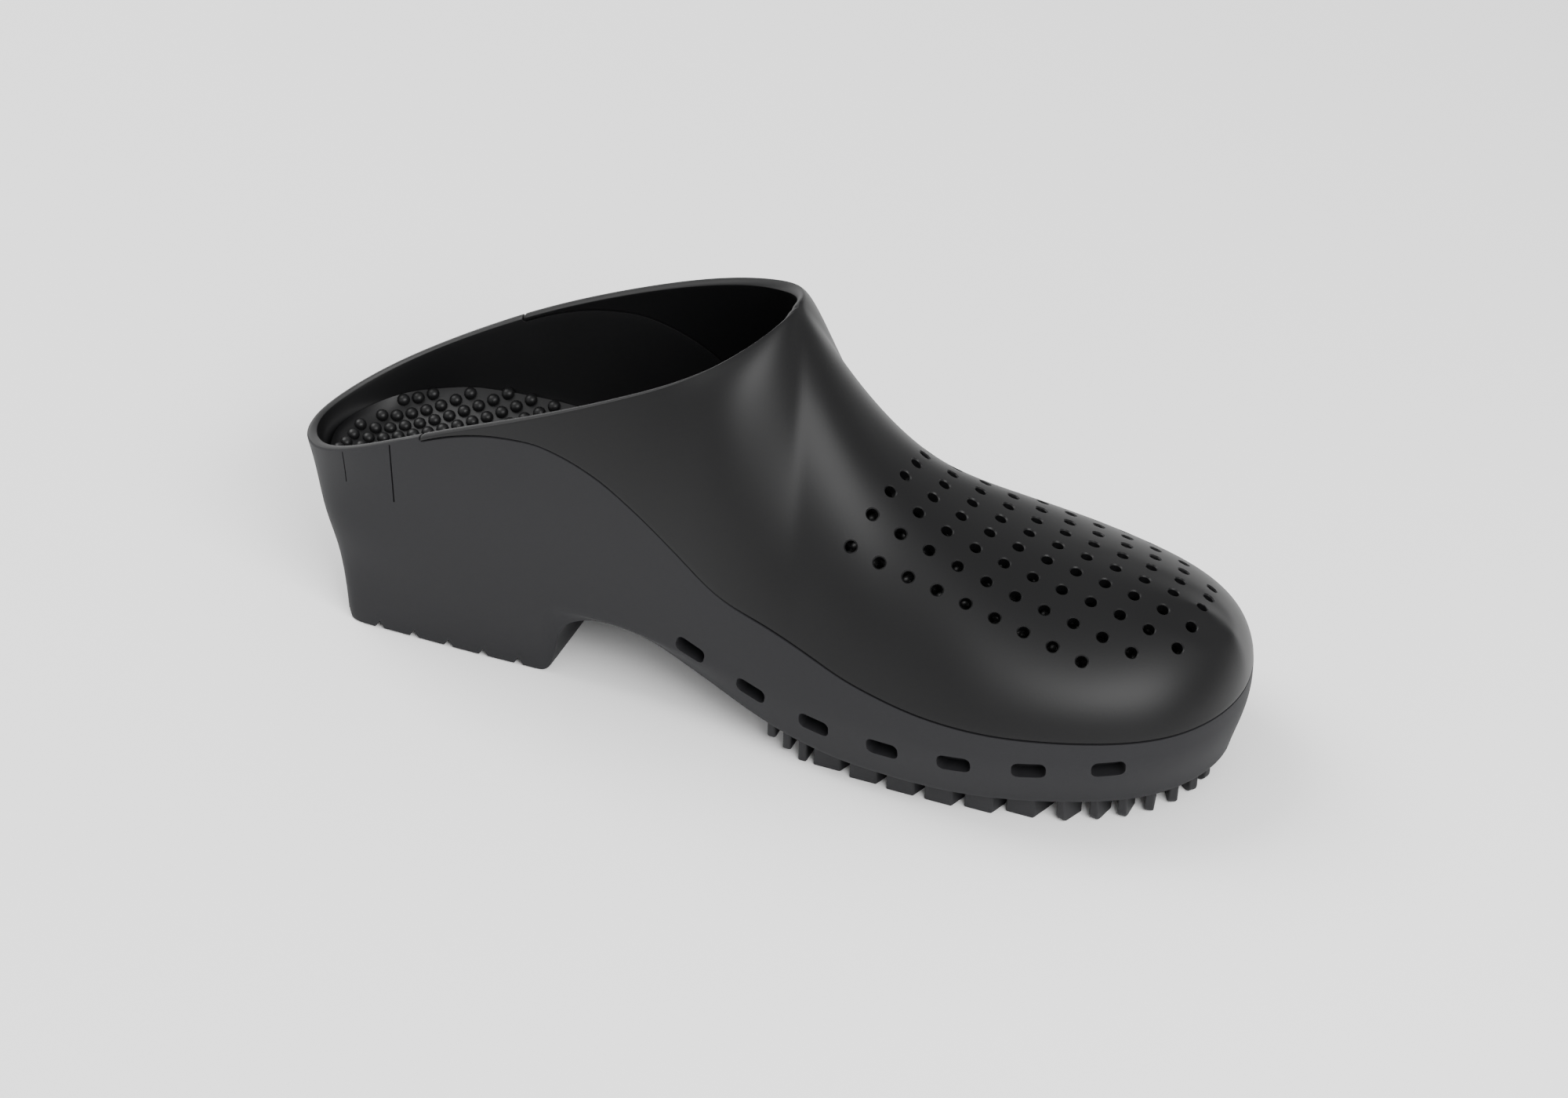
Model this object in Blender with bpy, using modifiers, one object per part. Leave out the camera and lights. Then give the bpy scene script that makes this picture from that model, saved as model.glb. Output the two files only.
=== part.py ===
"""A slip-on clog moulded in black rubber, with a raised heel and a perforated toe.

Lengths are in metres.  The toe points along +X and the shoe stands on z = 0.
Its inner side is -Y and is called near, the outer side is far: a left shoe.
x is counted from the back of the heel until the last step, which puts the
middle of the base at the origin.
One surface wraps the whole shoe.  It is drawn through guide lines that run
round it: the sole's lower edge, the widest line, the collar and the crest.
The sole is the part of that surface under the parting line, the upper is the
part over it, and both have a real wall inside.
"""
import math

import bmesh
import bpy
import numpy as np
from mathutils import Matrix, Vector
from mathutils.bvhtree import BVHTree

# Driving sizes
LENGTH = 0.277
BALL_WIDTH = 0.104
COLLAR_HEIGHT = 0.1165
PLATE_HEIGHT = 0.0080
ARCH_HEIGHT = 0.0224
WALL = 0.0030
PIECE_GAP = 0.0006
FOOTBED_HEIGHT = 0.0355
FOOTBED_RISE = 0.0100
FOOTBED_INSET = 0.0085
FOOTBED_THICKNESS = 0.0030
FOOTBED_GAP = 0.0003
DISH_WIDTH = 0.040
HOLE_DIAMETER = 0.0032
HOLE_PITCH_Y = 0.0077
HOLE_LAG = 0.0068
HOLE_REACH = 0.0060
SLOT_LENGTH = 0.0092
SLOT_HEIGHT = 0.0050
SLOT_CORNER = 0.0018
SLOT_DEPTH = 0.0055
GROOVE_WIDTH = 0.0032
GROOVE_DEPTH = 0.0027
BAR_WIDTH = 0.0080
BAR_ARCH = 0.0080
BAR_INSET = 0.0045
RIB_WIDTH = 0.0026
RIB_INSET = 0.0035
RIB_SLOPE = 0.36
FIN_WIDTH = 0.0026
FIN_LENGTH = 0.0080
FIN_INSET = 0.0028
TREAD_SUNK = 0.0012

# Guide lines.  A row is a section of the shoe, from the heel back to the toe
# front.  x is a share of LENGTH, near and far are shares of BALL_WIDTH, and
# a height is a share of COLLAR_HEIGHT.
EDGE = [  # name, x, near, far, lean outwards going up
    ("heel back",   0.079, 0.000, 0.000, 0.10),
    ("heel corner", 0.085, 0.270, 0.270, 0.06),
    ("heel side",   0.130, 0.318, 0.316, 0.02),
    ("heel middle", 0.222, 0.320, 0.316, 0.02),
    ("heel front",  0.316, 0.316, 0.310, 0.02),
    ("waist back",  0.406, 0.325, 0.315, 0.10),
    ("waist front", 0.500, 0.372, 0.360, 0.20),
    ("ball back",   0.597, 0.435, 0.412, 0.15),
    ("ball",        0.700, 0.468, 0.434, 0.12),
    ("toes",        0.796, 0.450, 0.428, 0.15),
    ("toe corner",  0.894, 0.356, 0.362, 0.20),
    ("toe side",    0.958, 0.220, 0.240, 0.20),
    ("toe front",   0.987, 0.000, 0.000, 0.20),
]
GIRTH = [  # name, x, near, far, height, lean outwards going up
    ("heel back",   0.045, 0.000, 0.000, 0.223, 0.50),
    ("heel corner", 0.060, 0.238, 0.238, 0.223, 0.36),
    ("heel side",   0.120, 0.314, 0.312, 0.223, 0.12),
    ("heel middle", 0.212, 0.332, 0.330, 0.223, 0.05),
    ("heel front",  0.310, 0.344, 0.340, 0.223, 0.03),
    ("waist back",  0.402, 0.360, 0.350, 0.223, 0.02),
    ("waist front", 0.496, 0.402, 0.392, 0.223, 0.01),
    ("ball back",   0.596, 0.455, 0.432, 0.216, 0.00),
    ("ball",        0.700, 0.492, 0.456, 0.211, 0.00),
    ("toes",        0.800, 0.478, 0.453, 0.211, 0.00),
    ("toe corner",  0.904, 0.386, 0.397, 0.216, 0.00),
    ("toe side",    0.972, 0.240, 0.264, 0.221, 0.00),
    ("toe front",   1.000, 0.000, 0.000, 0.227, 0.00),
]
COLLAR = [  # name, x, near, far, height, arrival angle in degrees
    ("heel back",   0.000, 0.000, 0.000, 0.370, 108),
    ("heel corner", 0.031, 0.188, 0.188, 0.407, 104),
    ("heel side",   0.096, 0.296, 0.296, 0.489, 95),
    ("heel middle", 0.195, 0.341, 0.341, 0.618, 88),
    ("heel front",  0.300, 0.352, 0.352, 0.736, 82),
    ("waist back",  0.395, 0.323, 0.318, 0.838, 72),
    ("waist front", 0.475, 0.223, 0.226, 0.924, 50),
    ("throat",      0.524, 0.000, 0.000, 1.000, 0),
]
CREST = [  # name, x, side, height
    ("throat",      0.524, 0.000, 1.000),
    ("instep",      0.595, -0.040, 0.779),
    ("vamp",        0.661, -0.060, 0.642),
    ("toes",        0.760, -0.045, 0.544),
    ("toe box",     0.868, -0.030, 0.498),
    ("toe end",     0.951, -0.010, 0.453),
]
FULLNESS = [  # name, near side handle, near crown handle, far side handle, far crown handle
    ("heel back",   0.35, 0.35, 0.35, 0.35),
    ("heel corner", 0.35, 0.35, 0.35, 0.35),
    ("heel side",   0.35, 0.35, 0.35, 0.35),
    ("heel middle", 0.35, 0.35, 0.35, 0.35),
    ("heel front",  0.38, 0.38, 0.38, 0.38),
    ("waist back",  0.40, 0.38, 0.38, 0.36),
    ("waist front", 0.36, 0.32, 0.30, 0.28),
    ("ball back",   0.26, 0.28, 0.12, 0.20),
    ("ball",        0.28, 0.36, 0.10, 0.31),
    ("toes",        0.44, 0.41, 0.36, 0.46),
    ("toe corner",  0.56, 0.45, 0.50, 0.48),
    ("toe side",    0.58, 0.46, 0.52, 0.46),
    ("toe front",   0.58, 0.55, 0.58, 0.55),
]
# The parting line between the sole and the upper, seen from the side
SEAM = [  # x, height
    (0.203, 0.615),
    (0.225, 0.637),
    (0.264, 0.663),
    (0.306, 0.673),
    (0.335, 0.662),
    (0.376, 0.626),
    (0.404, 0.583),
    (0.461, 0.483),
    (0.511, 0.403),
    (0.562, 0.365),
    (0.608, 0.331),
    (0.654, 0.299),
    (0.740, 0.270),
    (0.821, 0.260),
    (0.897, 0.259),
    (0.965, 0.259),
    (1.000, 0.259),
]
# The sole's lower edge behind the ball, seen from the side
ARCH = [  # x, height as a share of ARCH_HEIGHT
    (0.318, 0.00),
    (0.325, 0.62),
    (0.338, 0.84),
    (0.362, 0.96),
    (0.391, 1.00),
    (0.427, 0.95),
    (0.463, 0.82),
    (0.500, 0.69),
    (0.537, 0.56),
    (0.567, 0.48),
    (0.602, 0.41),
    (0.645, 0.36),
]
# The top of the footbed: its height in the middle, how far its edge rises over
# that, and how far its outline stays inside the shoe, as shares of FOOTBED_HEIGHT,
# FOOTBED_RISE and FOOTBED_INSET
FOOTBED = [  # x, height, rise, inset
    (0.00, 1.000, 0.50, 0.47),
    (0.08, 1.000, 0.70, 0.47),
    (0.14, 1.000, 0.95, 0.49),
    (0.22, 1.000, 1.00, 0.53),
    (0.30, 1.000, 0.78, 0.59),
    (0.38, 0.985, 0.46, 0.73),
    (0.50, 0.907, 0.22, 0.94),
    (0.60, 0.817, 0.12, 1.00),
    (0.70, 0.761, 0.10, 1.00),
    (0.85, 0.746, 0.10, 1.00),
    (1.00, 0.755, 0.10, 1.00),
]
# The vent slots along the sole's side, each at the same x on both sides
SLOTS = [  # x, height as a share of COLLAR_HEIGHT
    (0.479, 0.230),
    (0.548, 0.182),
    (0.619, 0.156),
    (0.693, 0.156),
    (0.766, 0.168),
    (0.837, 0.178),
    (0.908, 0.189),
]
# Patterns of equal steps along the shoe
PATTERNS = {  # first x and last x as shares of LENGTH, number of steps between them
    "grooves": (0.089, 0.282, 5),
    "ribs": (0.565, 0.601, 2),
    "bars": (0.627, 0.824, 5),
    "holes": (0.652, 0.948, 10),
}
# The holes over the toes: nine rows of nine, then two shorter rows
HOLE_ROWS = [9] * 9 + [7, 5]
# The fins round the toe, by how far along the outline's sections they stand, and
# the x of the point they aim at as a share of LENGTH
FINS = [9.62, 9.95, 10.28, 10.66, 11.05, 11.42, 11.75]
FIN_AIM = 0.920

SECTIONS = len(GIRTH) - 1
THROAT = len(COLLAR) - 1
STATIONS = [0, 0.35, 0.7, 1, 1.4, 2, 2.5, 3, 3.5, 3.85, 4.02, 4.09, 4.2, 4.5, 5, 5.4, 5.8, 6.2, 6.6, 6.85, 7, 7.2,
            7.5, 8, 8.5, 9, 9.5, 10, 10.4, 10.8, 11.1, 11.4, 11.7, 12]
LOW_ROWS = 6
UPPER_ROWS = 9
INNER_ROWS = 4
ACROSS = 8


def spline_slopes(points, closed):
    """Return the slopes of a smooth curve through the points."""
    count = len(points)
    system = np.zeros((count, count))
    target = np.zeros_like(points)
    for i in range(count):
        if closed or 0 < i < count - 1:
            system[i, (i - 1) % count] += 1
            system[i, i] += 4
            system[i, (i + 1) % count] += 1
            target[i] = 3 * (points[(i + 1) % count] - points[(i - 1) % count])
        else:
            other = 1 if i == 0 else i - 1
            system[i, i], system[i, other] = 2, 1
            target[i] = 3 * (points[max(i, other)] - points[min(i, other)])
    return np.linalg.solve(system, target)


class Curve:
    """A smooth curve through rows of numbers, one unit of its parameter a row."""

    def __init__(self, rows, closed=False):
        self.points = np.asarray(rows, float)
        self.closed = closed
        self.slopes = spline_slopes(self.points, closed)

    def __call__(self, s):
        count = len(self.points)
        s = s % count if self.closed else s
        i = min(int(math.floor(s)), count - 1 if self.closed else count - 2)
        t, j = s - i, (i + 1) % count
        return ((2 * t**3 - 3 * t**2 + 1) * self.points[i] + (t**3 - 2 * t**2 + t) * self.slopes[i]
                + (3 * t**2 - 2 * t**3) * self.points[j] + (t**3 - t**2) * self.slopes[j])


def round_curve(rows, extra):
    """Return the closed curve along the near rows and back along the far rows."""
    near = [(row[1] * LENGTH, -row[2] * BALL_WIDTH, *extra(row)) for row in rows]
    far = [(row[1] * LENGTH, row[3] * BALL_WIDTH, *extra(row)) for row in rows]
    return Curve(near + far[-2:0:-1], closed=True)


edge_curve = round_curve(EDGE, lambda row: (row[4],))
girth_curve = round_curve(GIRTH, lambda row: (row[4] * COLLAR_HEIGHT, row[5]))
collar_curve = round_curve(COLLAR, lambda row: (row[4] * COLLAR_HEIGHT, math.radians(row[5])))
crest_curve = Curve([(row[1] * LENGTH, row[2] * BALL_WIDTH, row[3] * COLLAR_HEIGHT) for row in CREST])
fullness_curve = Curve([row[1:3] for row in FULLNESS] + [row[3:5] for row in FULLNESS[-2:0:-1]], closed=True)


def on_side(curve, side, k, last=SECTIONS):
    """Return the closed curve's values at section k, near for side -1 and far for +1."""
    return curve(k if side < 0 else 2 * last - k)


def table_value(rows, x, column=1):
    """Return a column's value at x, without overshooting the rows."""
    xs = [row[0] for row in rows]
    ys = [row[column] for row in rows]
    if x <= xs[0]:
        return ys[0]
    if x >= xs[-1]:
        return ys[-1]
    rises = [(ys[i + 1] - ys[i]) / (xs[i + 1] - xs[i]) for i in range(len(xs) - 1)]
    slopes = [rises[0]]
    for before, after in zip(rises, rises[1:]):
        slopes.append(0.0 if before * after <= 0 else 2 * before * after / (before + after))
    slopes.append(rises[-1])
    i = max(j for j in range(len(xs) - 1) if xs[j] <= x)
    step = xs[i + 1] - xs[i]
    t = (x - xs[i]) / step
    return ((2 * t**3 - 3 * t**2 + 1) * ys[i] + (t**3 - 2 * t**2 + t) * step * slopes[i]
            + (3 * t**2 - 2 * t**3) * ys[i + 1] + (t**3 - t**2) * step * slopes[i + 1])


def edge_height(x):
    """Return the height of the sole's lower edge."""
    share = x / LENGTH
    if share <= ARCH[0][0]:
        return 0.0
    return max(table_value(ARCH, share) * ARCH_HEIGHT, PLATE_HEIGHT if share > 0.55 else 0.0)


def seam_height(x):
    """Return the height of the parting line."""
    return table_value(SEAM, x / LENGTH) * COLLAR_HEIGHT


def outward(side, k):
    """Return the level direction out of the girth line."""
    step = on_side(girth_curve, side, k + 0.01) - on_side(girth_curve, side, k - 0.01)
    along = step[:2] / np.linalg.norm(step[:2])
    return np.array([along[1], -along[0], 0.0]) * (1 if side < 0 else -1)


def top_of_section(side, k):
    """Return the collar or crest point of a section and its arrival angle."""
    if k <= THROAT:
        row = on_side(collar_curve, side, k, THROAT)
        return row[:3], row[3]
    return crest_curve(k - THROAT), 0.0


def crest_fall(k):
    """Return the crest's height change for one unit of x."""
    s = max(k - THROAT, 0.0)
    low = crest_curve(max(s - 0.02, 0.0))
    high = crest_curve(min(s + 0.02, len(CREST) - 1))
    return (high[2] - low[2]) / (high[0] - low[0])


def bezier(points, t):
    """Return the point at t on a cubic curve."""
    u = 1 - t
    return u**3 * points[0] + 3 * u * u * t * points[1] + 3 * u * t * t * points[2] + t**3 * points[3]


def surface(side, k, v):
    """Return the shoe's outer surface: v is 0 at the edge, 1 at the girth and 2 at the top."""
    up = np.array([0.0, 0.0, 1.0])
    out = outward(side, k)
    girth_row = on_side(girth_curve, side, k)
    girth, girth_lean = girth_row[:3], girth_row[3]
    if v <= 1:
        edge_row = on_side(edge_curve, side, k)
        foot = np.array([edge_row[0], edge_row[1], edge_height(edge_row[0])])
        rise = 0.35 * (girth[2] - foot[2])
        return bezier([foot, foot + rise * (up + edge_row[2] * out), girth - rise * (up + girth_lean * out),
                       girth], v)
    top, angle = top_of_section(side, k)
    side_full, crown_full = on_side(fullness_curve, side, k)
    level = np.array([top[0] - girth[0], top[1] - girth[1], 0.0])
    reach = np.linalg.norm(level)
    toward = level / reach if reach > 1e-6 else -out
    if k <= THROAT:
        turn = math.sin(min(angle, math.pi / 2))
        toward = toward * (1 - turn) - out * turn
        toward = toward / np.linalg.norm(toward)
    rise = top[2] - girth[2]
    fall = crest_fall(k) * toward[0]
    arrive = toward * math.cos(angle) + up * (math.sin(angle) + fall * max(math.cos(angle), 0.0))
    arrive = arrive / np.linalg.norm(arrive)
    crown = crown_full * (reach * abs(math.cos(angle)) + rise * abs(math.sin(angle)))
    return bezier([girth, girth + side_full * rise * (up + girth_lean * out), top - crown * arrive, top], v - 1)


def surface_normal(side, k, v):
    """Return the outward unit normal of the surface."""
    if k > SECTIONS - 0.02:
        ahead, behind = surface(-1, SECTIONS - 0.02, v), surface(1, SECTIONS - 0.02, v)
    elif k < 0.02:
        ahead, behind = surface(-1, 0.02, v), surface(1, 0.02, v)
    else:
        ahead, behind = surface(side, k + 0.02, v), surface(side, k - 0.02, v)
    along = ahead - behind
    low, high = max(v - 0.02, 0.0), min(v + 0.02, 2.0)
    rise = surface(side, k, high) - surface(side, k, low)
    normal = np.cross(along, rise)
    normal = normal / np.linalg.norm(normal)
    if k > SECTIONS - 0.02:
        return normal * (1 if normal[0] > 0 else -1)
    if k < 0.02:
        return normal * (1 if normal[0] < 0 else -1)
    return normal * (1 if side < 0 else -1)


def height_share(side, k, height, high=2.0):
    """Return the v at which a section reaches a height, or high if it stays lower."""
    if surface(side, k, high)[2] <= height:
        return high
    low = 0.0
    for _ in range(30):
        middle = (low + high) / 2
        if surface(side, k, middle)[2] < height:
            low = middle
        else:
            high = middle
    return (low + high) / 2


def seam_share(side, k):
    """Return the v of the parting line on a section."""
    v = 1.3
    for _ in range(4):
        v = height_share(side, k, seam_height(surface(side, k, v)[0]))
    return v


def nick_section(side):
    """Return the section at which the parting line leaves the collar."""
    low, high = 2.0, 4.0
    for _ in range(30):
        middle = (low + high) / 2
        if collar_x(side, middle) < SEAM[0][0] * LENGTH:
            low = middle
        else:
            high = middle
    return (low + high) / 2


def collar_x(side, k):
    """Return the x of the collar at a section."""
    return on_side(collar_curve, side, k, THROAT)[0]


def shifted_share(side, k, v, distance):
    """Return v moved along the section by a distance."""
    if v >= 2.0:
        return v
    speed = np.linalg.norm(surface(side, k, v + 0.01) - surface(side, k, v - 0.01)) / 0.02
    return v + distance / speed


def new_object(name, vertices, faces, collection):
    """Return a mesh object with normals that face outwards."""
    mesh = bpy.data.meshes.new(name)
    mesh.from_pydata([tuple(float(c) for c in p) for p in vertices], [], faces)
    work = bmesh.new()
    work.from_mesh(mesh)
    bmesh.ops.remove_doubles(work, verts=work.verts, dist=1e-6)
    bmesh.ops.dissolve_degenerate(work, edges=work.edges, dist=1e-6)
    bmesh.ops.recalc_face_normals(work, faces=work.faces)
    work.to_mesh(mesh)
    work.free()
    thing = bpy.data.objects.new(name, mesh)
    collection.objects.link(thing)
    return thing


def grid_faces(first, rows, columns, closed=False):
    """Return the faces of a grid of vertices stored row by row."""
    faces = []
    for i in range(rows - 1):
        for j in range(columns if closed else columns - 1):
            a, b = first + i * columns + j, first + i * columns + (j + 1) % columns
            faces.append((a, b, b + columns, a + columns))
    return faces


def pattern_xs(name):
    """Return the x of each place in a pattern of equal steps."""
    first, last, steps = PATTERNS[name]
    return [LENGTH * (first + (last - first) * i / steps) for i in range(steps + 1)]


def footbed_rows(x):
    """Return height, edge rise and inset of the footbed."""
    sizes = (FOOTBED_HEIGHT, FOOTBED_RISE, FOOTBED_INSET)
    return [size * table_value(FOOTBED, x / LENGTH, column + 1) for column, size in enumerate(sizes)]


def floor_edge(side, k, drop):
    """Return the footbed's outline at a section, drop under its top, inside the wall."""
    v = 0.9
    for _ in range(4):
        point = surface(side, k, v)
        height, rise, inset = footbed_rows(point[0])
        v = height_share(side, k, height + rise - drop)
    point = surface(side, k, v)
    height, rise, inset = footbed_rows(point[0])
    level = surface_normal(side, k, v) * np.array([1.0, 1.0, 0.0])
    inside = point - inset * level / np.linalg.norm(level)
    inside[2] = height + rise - drop
    return inside, v


def ladder(near_row, far_row, dip_at):
    """Return rows of points across the shoe from the near line to the far line."""
    rows = []
    for near, far in zip(near_row, far_row):
        row = []
        for j in range(ACROSS + 1):
            u = j / ACROSS
            point = near * (1 - u) + far * u
            point[2] -= dip_at(point[0], abs(2 * u - 1), min(1.0, (far[1] - near[1]) / DISH_WIDTH))
            row.append(point)
        rows.append(row)
    return rows


def dish(x, u, share):
    """Return how far the footbed dips under its edge: u is 0 in the middle and 1 at the edge."""
    return footbed_rows(x)[1] * (1 - u**3) * share


def make_sole(collection):
    """Return the sole: a cup with an outer wall, an inner wall, a floor and an underside."""
    nick = nick_section(-1)
    stations = sorted(STATIONS + [nick - 0.012, nick])
    drop = FOOTBED_THICKNESS + FOOTBED_GAP
    ring = [(-1, k) for k in stations] + [(1, k) for k in stations[-2:0:-1]]
    columns = []
    for side, k in ring:
        top = 2.0 if k < nick - 1e-6 else shifted_share(side, k, seam_share(side, k), -PIECE_GAP / 2)
        outer = [surface(side, k, top * j / LOW_ROWS) for j in range(LOW_ROWS + 1)]
        bottom, v_floor = floor_edge(side, k, drop)
        inset = footbed_rows(bottom[0])[2]
        inner = []
        for m in range(INNER_ROWS):
            t = m / INNER_ROWS
            v = top + (v_floor - top) * t
            inner.append(surface(side, k, v) - (WALL + (inset - WALL) * t**4) * surface_normal(side, k, v))
        columns.append(outer + inner + [bottom])
    count = len(columns[0])
    vertices = [columns[j][i] for i in range(count) for j in range(len(ring))]
    faces = grid_faces(0, count, len(ring), closed=True)
    last = len(stations) - 1
    near = list(range(len(stations)))
    far = [0] + [len(ring) - i for i in range(1, last)] + [last]

    def close(level, dip_at):
        line = [columns[j][level] for j in range(len(ring))]
        rows = ladder([line[i].copy() for i in near], [line[i].copy() for i in far], dip_at)
        first = len(vertices)
        for row in rows:
            vertices.extend(row)
        faces.extend(grid_faces(first, len(rows), ACROSS + 1))

    close(0, lambda x, u, share: 0.0)
    close(count - 1, dish)
    return new_object("sole", vertices, faces, collection)


def make_footbed(collection):
    """Return the footbed: a dished plate that lies in the sole."""
    drop = FOOTBED_THICKNESS + FOOTBED_GAP
    sides = {}
    for side in (-1, 1):
        line = []
        for k in STATIONS:
            point, v = floor_edge(side, k, drop)
            level = surface_normal(side, k, v) * np.array([1.0, 1.0, 0.0])
            point = point - FOOTBED_GAP * level / np.linalg.norm(level)
            line.append(point + np.array([0, 0, FOOTBED_GAP]))
        sides[side] = line
    vertices, faces = [], []
    for lift in (0.0, FOOTBED_THICKNESS):
        near = [p + np.array([0, 0, lift]) for p in sides[-1]]
        far = [p + np.array([0, 0, lift]) for p in sides[1]]
        first = len(vertices)
        for row in ladder(near, far, dish):
            vertices.extend(row)
        faces.extend(grid_faces(first, len(STATIONS), ACROSS + 1))
    layer = len(vertices) // 2
    width = ACROSS + 1
    for i in range(len(STATIONS) - 1):
        for j in (0, ACROSS):
            a, b = i * width + j, (i + 1) * width + j
            faces.append((a, b, b + layer, a + layer))
    return new_object("insole", vertices, faces, collection)


def make_upper(collection):
    """Return the upper: the surface over the parting line, thickened inwards."""
    nick = nick_section(-1) + 0.012
    stations = [nick] + [k for k in STATIONS if k > nick + 0.05]
    columns = []
    for side in (-1, 1):
        for k in stations:
            low = shifted_share(side, k, seam_share(side, k), PIECE_GAP / 2)
            columns.append([surface(side, k, low + (2.0 - low) * j / UPPER_ROWS) for j in range(UPPER_ROWS + 1)])
    count = len(stations)
    vertices = [point for column in columns for point in column]
    faces = []
    width = UPPER_ROWS + 1
    for half in (0, 1):
        for i in range(count - 1):
            for j in range(UPPER_ROWS):
                a = (half * count + i) * width + j
                face = (a, a + width, a + width + 1, a + 1)
                faces.append(face if half == 0 else face[::-1])
    upper = new_object("upper", vertices, faces, collection)
    wall = upper.modifiers.new("wall", "SOLIDIFY")
    wall.thickness = WALL
    wall.offset = -1.0
    wall.use_even_offset = True
    wall.use_quality_normals = True
    return upper


def section_at(side, x, height):
    """Return the section and v of the wall point at an x and a height."""
    low, high = 3.0, float(SECTIONS)
    for _ in range(30):
        k = (low + high) / 2
        v = height_share(side, k, height, 1.6)
        if surface(side, k, v)[0] < x:
            low = k
        else:
            high = k
    return k, v


def outline_y(side, x):
    """Return the y of the sole's lower edge at an x."""
    low, high = 1.0, float(SECTIONS)
    for _ in range(30):
        k = (low + high) / 2
        if on_side(edge_curve, side, k)[0] < x:
            low = k
        else:
            high = k
    return on_side(edge_curve, side, k)[1]


def prism(work, outline, low, high):
    """Add an upright prism over a plan outline to a bmesh."""
    rings = []
    for z in (low, high):
        rings.append([work.verts.new((x, y, z)) for x, y in outline])
    count = len(outline)
    work.faces.new(rings[0][::-1])
    work.faces.new(rings[1])
    for i in range(count):
        j = (i + 1) % count
        work.faces.new((rings[0][i], rings[0][j], rings[1][j], rings[1][i]))


def finish_bmesh(work, name, collection):
    """Return an object made from a bmesh of closed shells."""
    bmesh.ops.recalc_face_normals(work, faces=work.faces)
    mesh = bpy.data.meshes.new(name)
    work.to_mesh(mesh)
    work.free()
    thing = bpy.data.objects.new(name, mesh)
    collection.objects.link(thing)
    thing.hide_render = True
    thing.display_type = "WIRE"
    return thing


def cross_bar(work, x_end, width, inset, arch, bottom, top):
    """Add a tread bar that runs from side to side and bows towards the toe."""
    steps = 8
    near, far = outline_y(-1, x_end) + inset, outline_y(1, x_end) - inset
    front, back = [], []
    for i in range(steps + 1):
        u = 2 * i / steps - 1
        y = near + (far - near) * i / steps
        x = x_end + arch * (1 - u * u)
        front.append((x + width / 2, y))
        back.append((x - width / 2, y))
    outline = back + front[::-1]
    rings = [[work.verts.new((x, y, z)) for x, y in outline] for z in (bottom, top)]
    count = len(outline)
    for i in range(count):
        j = (i + 1) % count
        work.faces.new((rings[0][i], rings[0][j], rings[1][j], rings[1][i]))
    for ring in rings:
        for i in range(steps):
            work.faces.new((ring[i], ring[i + 1], ring[count - 2 - i], ring[count - 1 - i]))


def make_bars(collection):
    """Return the forefoot tread's thin ribs and the wide cross bars in front of them."""
    work = bmesh.new()
    ribs = pattern_xs("ribs")
    for x in ribs:
        cross_bar(work, x, RIB_WIDTH, RIB_INSET, 0.0, RIB_SLOPE * (ribs[-1] - x), edge_height(x) + TREAD_SUNK)
    for x in pattern_xs("bars"):
        cross_bar(work, x, BAR_WIDTH, BAR_INSET, BAR_ARCH, 0.0, PLATE_HEIGHT + TREAD_SUNK)
    return finish_bmesh(work, "bars", collection)


def make_fins(collection):
    """Return the thin fins that stand round the toe."""
    work = bmesh.new()
    for side in (-1, 1):
        for k in FINS:
            row = on_side(edge_curve, side, k)
            tip = np.array([row[0], row[1]])
            inward = np.array([FIN_AIM * LENGTH, 0.0]) - tip
            inward = inward / np.linalg.norm(inward)
            across = np.array([-inward[1], inward[0]]) * FIN_WIDTH / 2
            start, end = tip + inward * FIN_INSET, tip + inward * (FIN_INSET + FIN_LENGTH)
            prism(work, [start - across, end - across, end + across, start + across], 0.0,
                  PLATE_HEIGHT + TREAD_SUNK)
    return finish_bmesh(work, "fins", collection)


def make_grooves(collection):
    """Return the V grooves across the bottom of the heel."""
    work = bmesh.new()
    for x in pattern_xs("grooves"):
        half, over = GROOVE_WIDTH / 2, 0.0010
        slant = half / GROOVE_DEPTH * (GROOVE_DEPTH + over)
        section = [(x - slant, -over), (x + slant, -over), (x, GROOVE_DEPTH)]
        ends = [[work.verts.new((px, y, pz)) for px, pz in section] for y in (-0.06, 0.06)]
        work.faces.new(ends[0])
        work.faces.new(ends[1][::-1])
        for a in range(3):
            b = (a + 1) % 3
            work.faces.new((ends[0][a], ends[0][b], ends[1][b], ends[1][a]))
    return finish_bmesh(work, "grooves", collection)


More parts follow.
